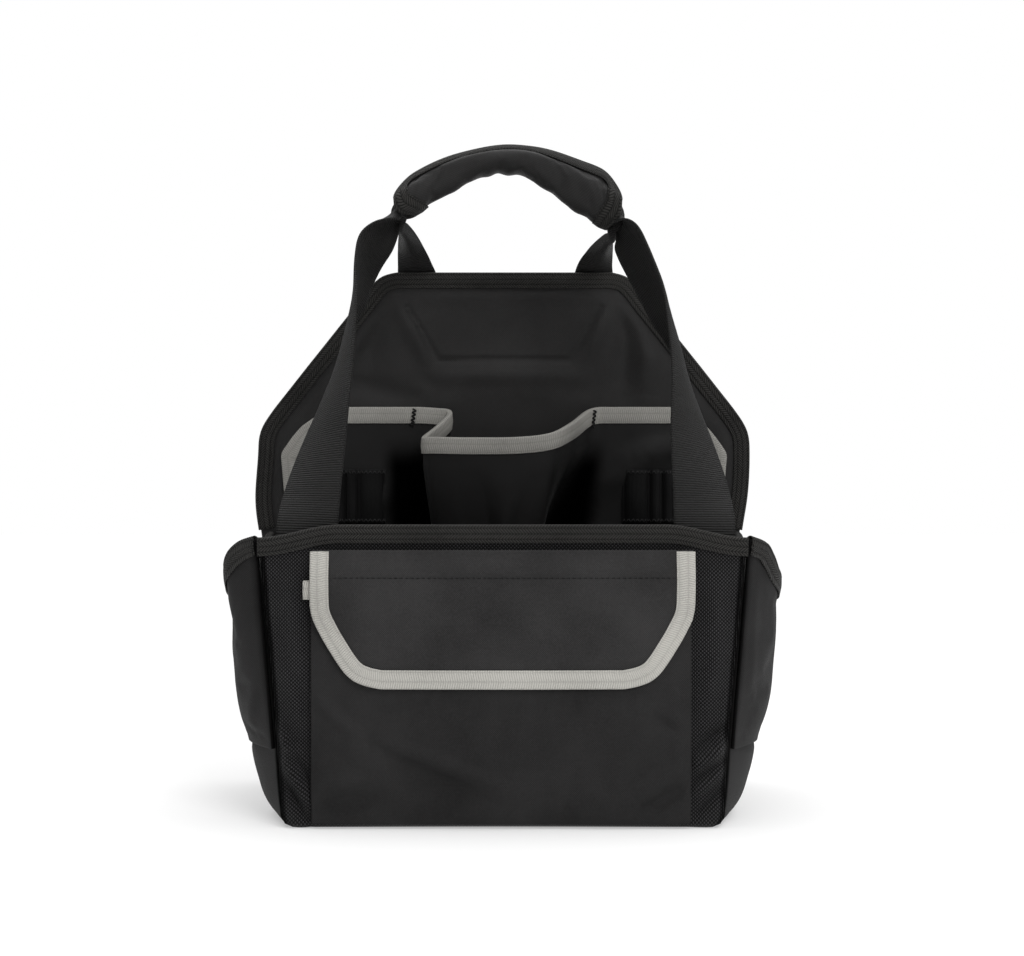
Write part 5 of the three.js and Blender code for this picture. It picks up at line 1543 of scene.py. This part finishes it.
class BAG_OT_front_pocket(PieceOperator):
    """Make the front pocket, the flap that closes it and the tape on both"""

    bl_idname = "bag.make_front_pocket"
    bl_label = "Make front pocket"

    def make_pocket(self, sizes):
        def flat(u, v):
            return mix(POCKET_LEFT_X, POCKET_RIGHT_X, u), mix(POCKET_BOTTOM_Z, POCKET_TOP_Z, v)

        def relief(x, z):
            held = smooth((POCKET_RIGHT_X - x) / 6) * smooth((x - POCKET_LEFT_X) / 6)
            loose = smooth((z - POCKET_BOTTOM_Z) / 7) * smooth((POCKET_TOP_Z - z - 14) / 24)
            return np.maximum(folds(POCKET_FOLDS, x, z) + 0.7 * ripple(x, z, 24, 0.9), -3.2) * held * loose

        pocket = add_piece(lay_cloth("front_pocket_cloth", 110, 70, flat, pocket_at, relief), "smooth_cloth",
                           "front_pocket")
        x, z = flat_places(pocket)
        inset = np.minimum(np.minimum(x - POCKET_LEFT_X, POCKET_RIGHT_X - x), z - POCKET_BOTTOM_Z)
        held = np.maximum(1 - smooth((inset - 3) / 5), smooth((z - FLAP_BOTTOM_Z + 6) / 8))
        settle(pocket, held, swell=0.15, slack=0.006, cap=2.0, stiff=4)
        thicken(rounder(pocket), sizes.pouch)
        x = np.linspace(POCKET_RIGHT_X + 1, POCKET_LEFT_X - 5, 110)
        edge = np.stack([x, np.full(110, POCKET_TOP_Z)], axis=1)
        return pocket, add_grey_tape(sizes, "front_pocket_edge", "front_pocket_tape", edge, pocket_at,
                                     sizes.pouch / MM / 2)

    def make_flap(self, sizes):
        half_thick = sizes.pouch / MM / 2

        def flat(u, v):
            z = np.interp(v, [0, 0.12, 0.3, 1], [FLAP_BOTTOM_Z, FLAP_ROWS["z"][1], FLAP_CURVE_Z, FLAP_TOP_Z])
            return (2 * u - 1) * flap_half(z), z

        def relief(x, z):
            inner = smooth((flap_half(z) - np.abs(x) - 10) / 14) * smooth((z - FLAP_BOTTOM_Z - 10) / 14)
            return (folds(FLAP_FOLDS, x, z) + 0.35 * ripple(x, z, 30, 2.2)) * inner

        # The flap takes the smooth cloth copy with painted light
        flap = add_piece(lay_cloth("front_flap_cloth", 140, 80, flat, flap_at, relief), "flap_lit_cloth",
                         "front_flap", slot="smooth_cloth", thick=sizes.pouch)
        z = np.concatenate([np.linspace(FLAP_TOP_Z - 1, FLAP_CURVE_Z, 60),
                            np.linspace(FLAP_CURVE_Z, FLAP_BOTTOM_Z, 24)[1:]])
        left = np.stack([-flap_half(z), z], axis=1)
        right = (left * [-1, 1])[::-1]
        across = np.linspace(left[-1, 0], right[0, 0], 60)[1:-1]
        bottom = np.stack([across, np.full(len(across), FLAP_BOTTOM_Z)], axis=1)
        edge = resample(soften(np.concatenate([left, bottom, right])), 1.8)
        seam = straight_stitches(flap_at, [(-FLAP_SEAM_HALF, FLAP_SEAM_Z), (FLAP_SEAM_HALF, FLAP_SEAM_Z)],
                                 half_thick - 0.1, sizes.stitch / MM)
        add_piece(sew("flap_stitches", seam, SEAM_THREAD), "thread", slot="black_tape")
        return flap, add_grey_tape(sizes, "front_flap_edge", "front_flap_tape", edge, flap_at, half_thick)

    def execute(self, context):
        pocket, mouth = self.make_pocket(context.scene.tool_bag_sizes)
        flap, tape = self.make_flap(context.scene.tool_bag_sizes)
        return {"FINISHED"}


class BAG_OT_handle(PieceOperator):
    """Make the padded wrap round the straps and the binding on its edges"""

    bl_idname = "bag.make_handle"
    bl_label = "Make handle wrap"

    def execute(self, context):
        def flat(u, v):
            girth = mix(-PAD_GIRTH / 2, PAD_GIRTH / 2, v)
            return mix(pad_end_at(-1, girth), pad_end_at(1, girth), u), girth

        def relief(x, girth):
            under = np.exp(-(girth / 16) ** 2)
            gather = np.sin(x / 3.1 + 0.8 * np.sin(x / 9)) * 0.7 + np.sin(x / 1.9 + girth / 7) * 0.35
            groove = np.exp(-((PAD_GIRTH / 2 - np.abs(girth) - 9) / 1.5) ** 2)
            return 0.8 * under * gather + 0.5 * ripple(x, girth, 11, 0.3) - 0.5 * groove

        pad = add_piece(lay_cloth("handle_wrap", 100, 50, flat, pad_at, relief, -1), "padded_cloth",
                        "handle_pad")
        x, girth = flat_places(pad)
        inset = np.minimum(np.minimum(x - pad_end_at(-1, girth), pad_end_at(1, girth) - x),
                           PAD_GIRTH / 2 - np.abs(girth))
        settle(pad, 1 - smooth((inset - 7) / 3), swell=-1.5, slack=0.03, cap=2.5, stiff=2)
        thicken(rounder(pad), PAD_BODY * MM)
        girth = PAD_GIRTH / 2 * np.sin(np.linspace(-math.pi / 2, math.pi / 2, 120))
        right = np.stack([pad_end_at(1, girth), girth], axis=1)
        left = np.stack([pad_end_at(-1, girth), girth], axis=1)[::-1]
        between = np.linspace(0, 1, 80)[1:-1, None]
        edge = np.concatenate([
            right, mix(right[-1], left[0], between), left, mix(left[-1], right[0], between)])
        edge = resample(np.concatenate([edge, edge[:1]]), 1.6)[:-1]
        tape = bind_edge("handle_tape", edge, pad_at, PAD_BODY / 2, PAD_TAPE_WIDTH, PAD_TAPE_THICK, loop=True,
                         slack=0.6)
        add_piece(tape, "black_tape", "handle_pad_binding", thick=PAD_TAPE_THICK * MM)
        return {"FINISHED"}


class BAG_OT_straps(PieceOperator):
    """Make the two webbing straps that run through the wrap"""

    bl_idname = "bag.make_straps"
    bl_label = "Make straps"

    def execute(self, context):
        sizes = context.scene.tool_bag_sizes
        for name, left, right, nest, whole in (
                ("front", FRONT_STRAP_LEFT, FRONT_STRAP_RIGHT, FRONT_NEST, 0.78),
                ("rear", REAR_STRAP_LEFT, REAR_STRAP_RIGHT, REAR_NEST, 0.68)):
            strap = add_piece(
                sweep_strap(f"{name}_webbing", left, right, nest, sizes.webbing_width / MM),
                "webbing", f"{name}_strap", thick=sizes.webbing)
        return {"FINISHED"}


class BAG_PT_panel(bpy.types.Panel):
    """Lists the pieces of the bag"""

    bl_idname = "BAG_PT_panel"
    bl_label = "Tool bag"
    bl_space_type = "VIEW_3D"
    bl_region_type = "UI"
    bl_category = "Tool bag"

    def draw(self, context):
        for operator in OPERATORS:
            self.layout.operator(operator.bl_idname)
        for group in ("tool_bag_sizes", "tool_bag_colours", "tool_bag_stage"):
            settings = getattr(context.scene, group)
            for name in settings.__annotations__:
                self.layout.prop(settings, name)


OPERATORS = (
    BAG_OT_stage, BAG_OT_finishes, BAG_OT_base, BAG_OT_front_wall, BAG_OT_sides, BAG_OT_back_wall,
    BAG_OT_inner_pocket, BAG_OT_tool_loops, BAG_OT_front_pocket, BAG_OT_handle, BAG_OT_straps,
)
GROUPS = {
    "tool_bag_sizes": ToolBagSizes, "tool_bag_colours": ToolBagColours, "tool_bag_stage": ToolBagStage,
}


def register():
    for group in GROUPS.values():
        bpy.utils.register_class(group)
    for name, group in GROUPS.items():
        setattr(bpy.types.Scene, name, PointerProperty(type=group))
    for operator in OPERATORS:
        bpy.utils.register_class(operator)
    bpy.utils.register_class(BAG_PT_panel)


def unregister():
    bpy.utils.unregister_class(BAG_PT_panel)
    for operator in reversed(OPERATORS):
        bpy.utils.unregister_class(operator)
    for name in GROUPS:
        delattr(bpy.types.Scene, name)
    for group in reversed(list(GROUPS.values())):
        bpy.utils.unregister_class(group)


def main():
    register()
    bpy.ops.bag.set_stage()
    bpy.ops.bag.make_finishes()
    bpy.ops.bag.make_base()
    bpy.ops.bag.make_front_wall()
    bpy.ops.bag.make_sides()
    bpy.ops.bag.make_back_wall()
    bpy.ops.bag.make_inner_pocket()
    bpy.ops.bag.make_tool_loops()
    bpy.ops.bag.make_front_pocket()
    bpy.ops.bag.make_handle()
    bpy.ops.bag.make_straps()


if __name__ == "__main__":
    main()
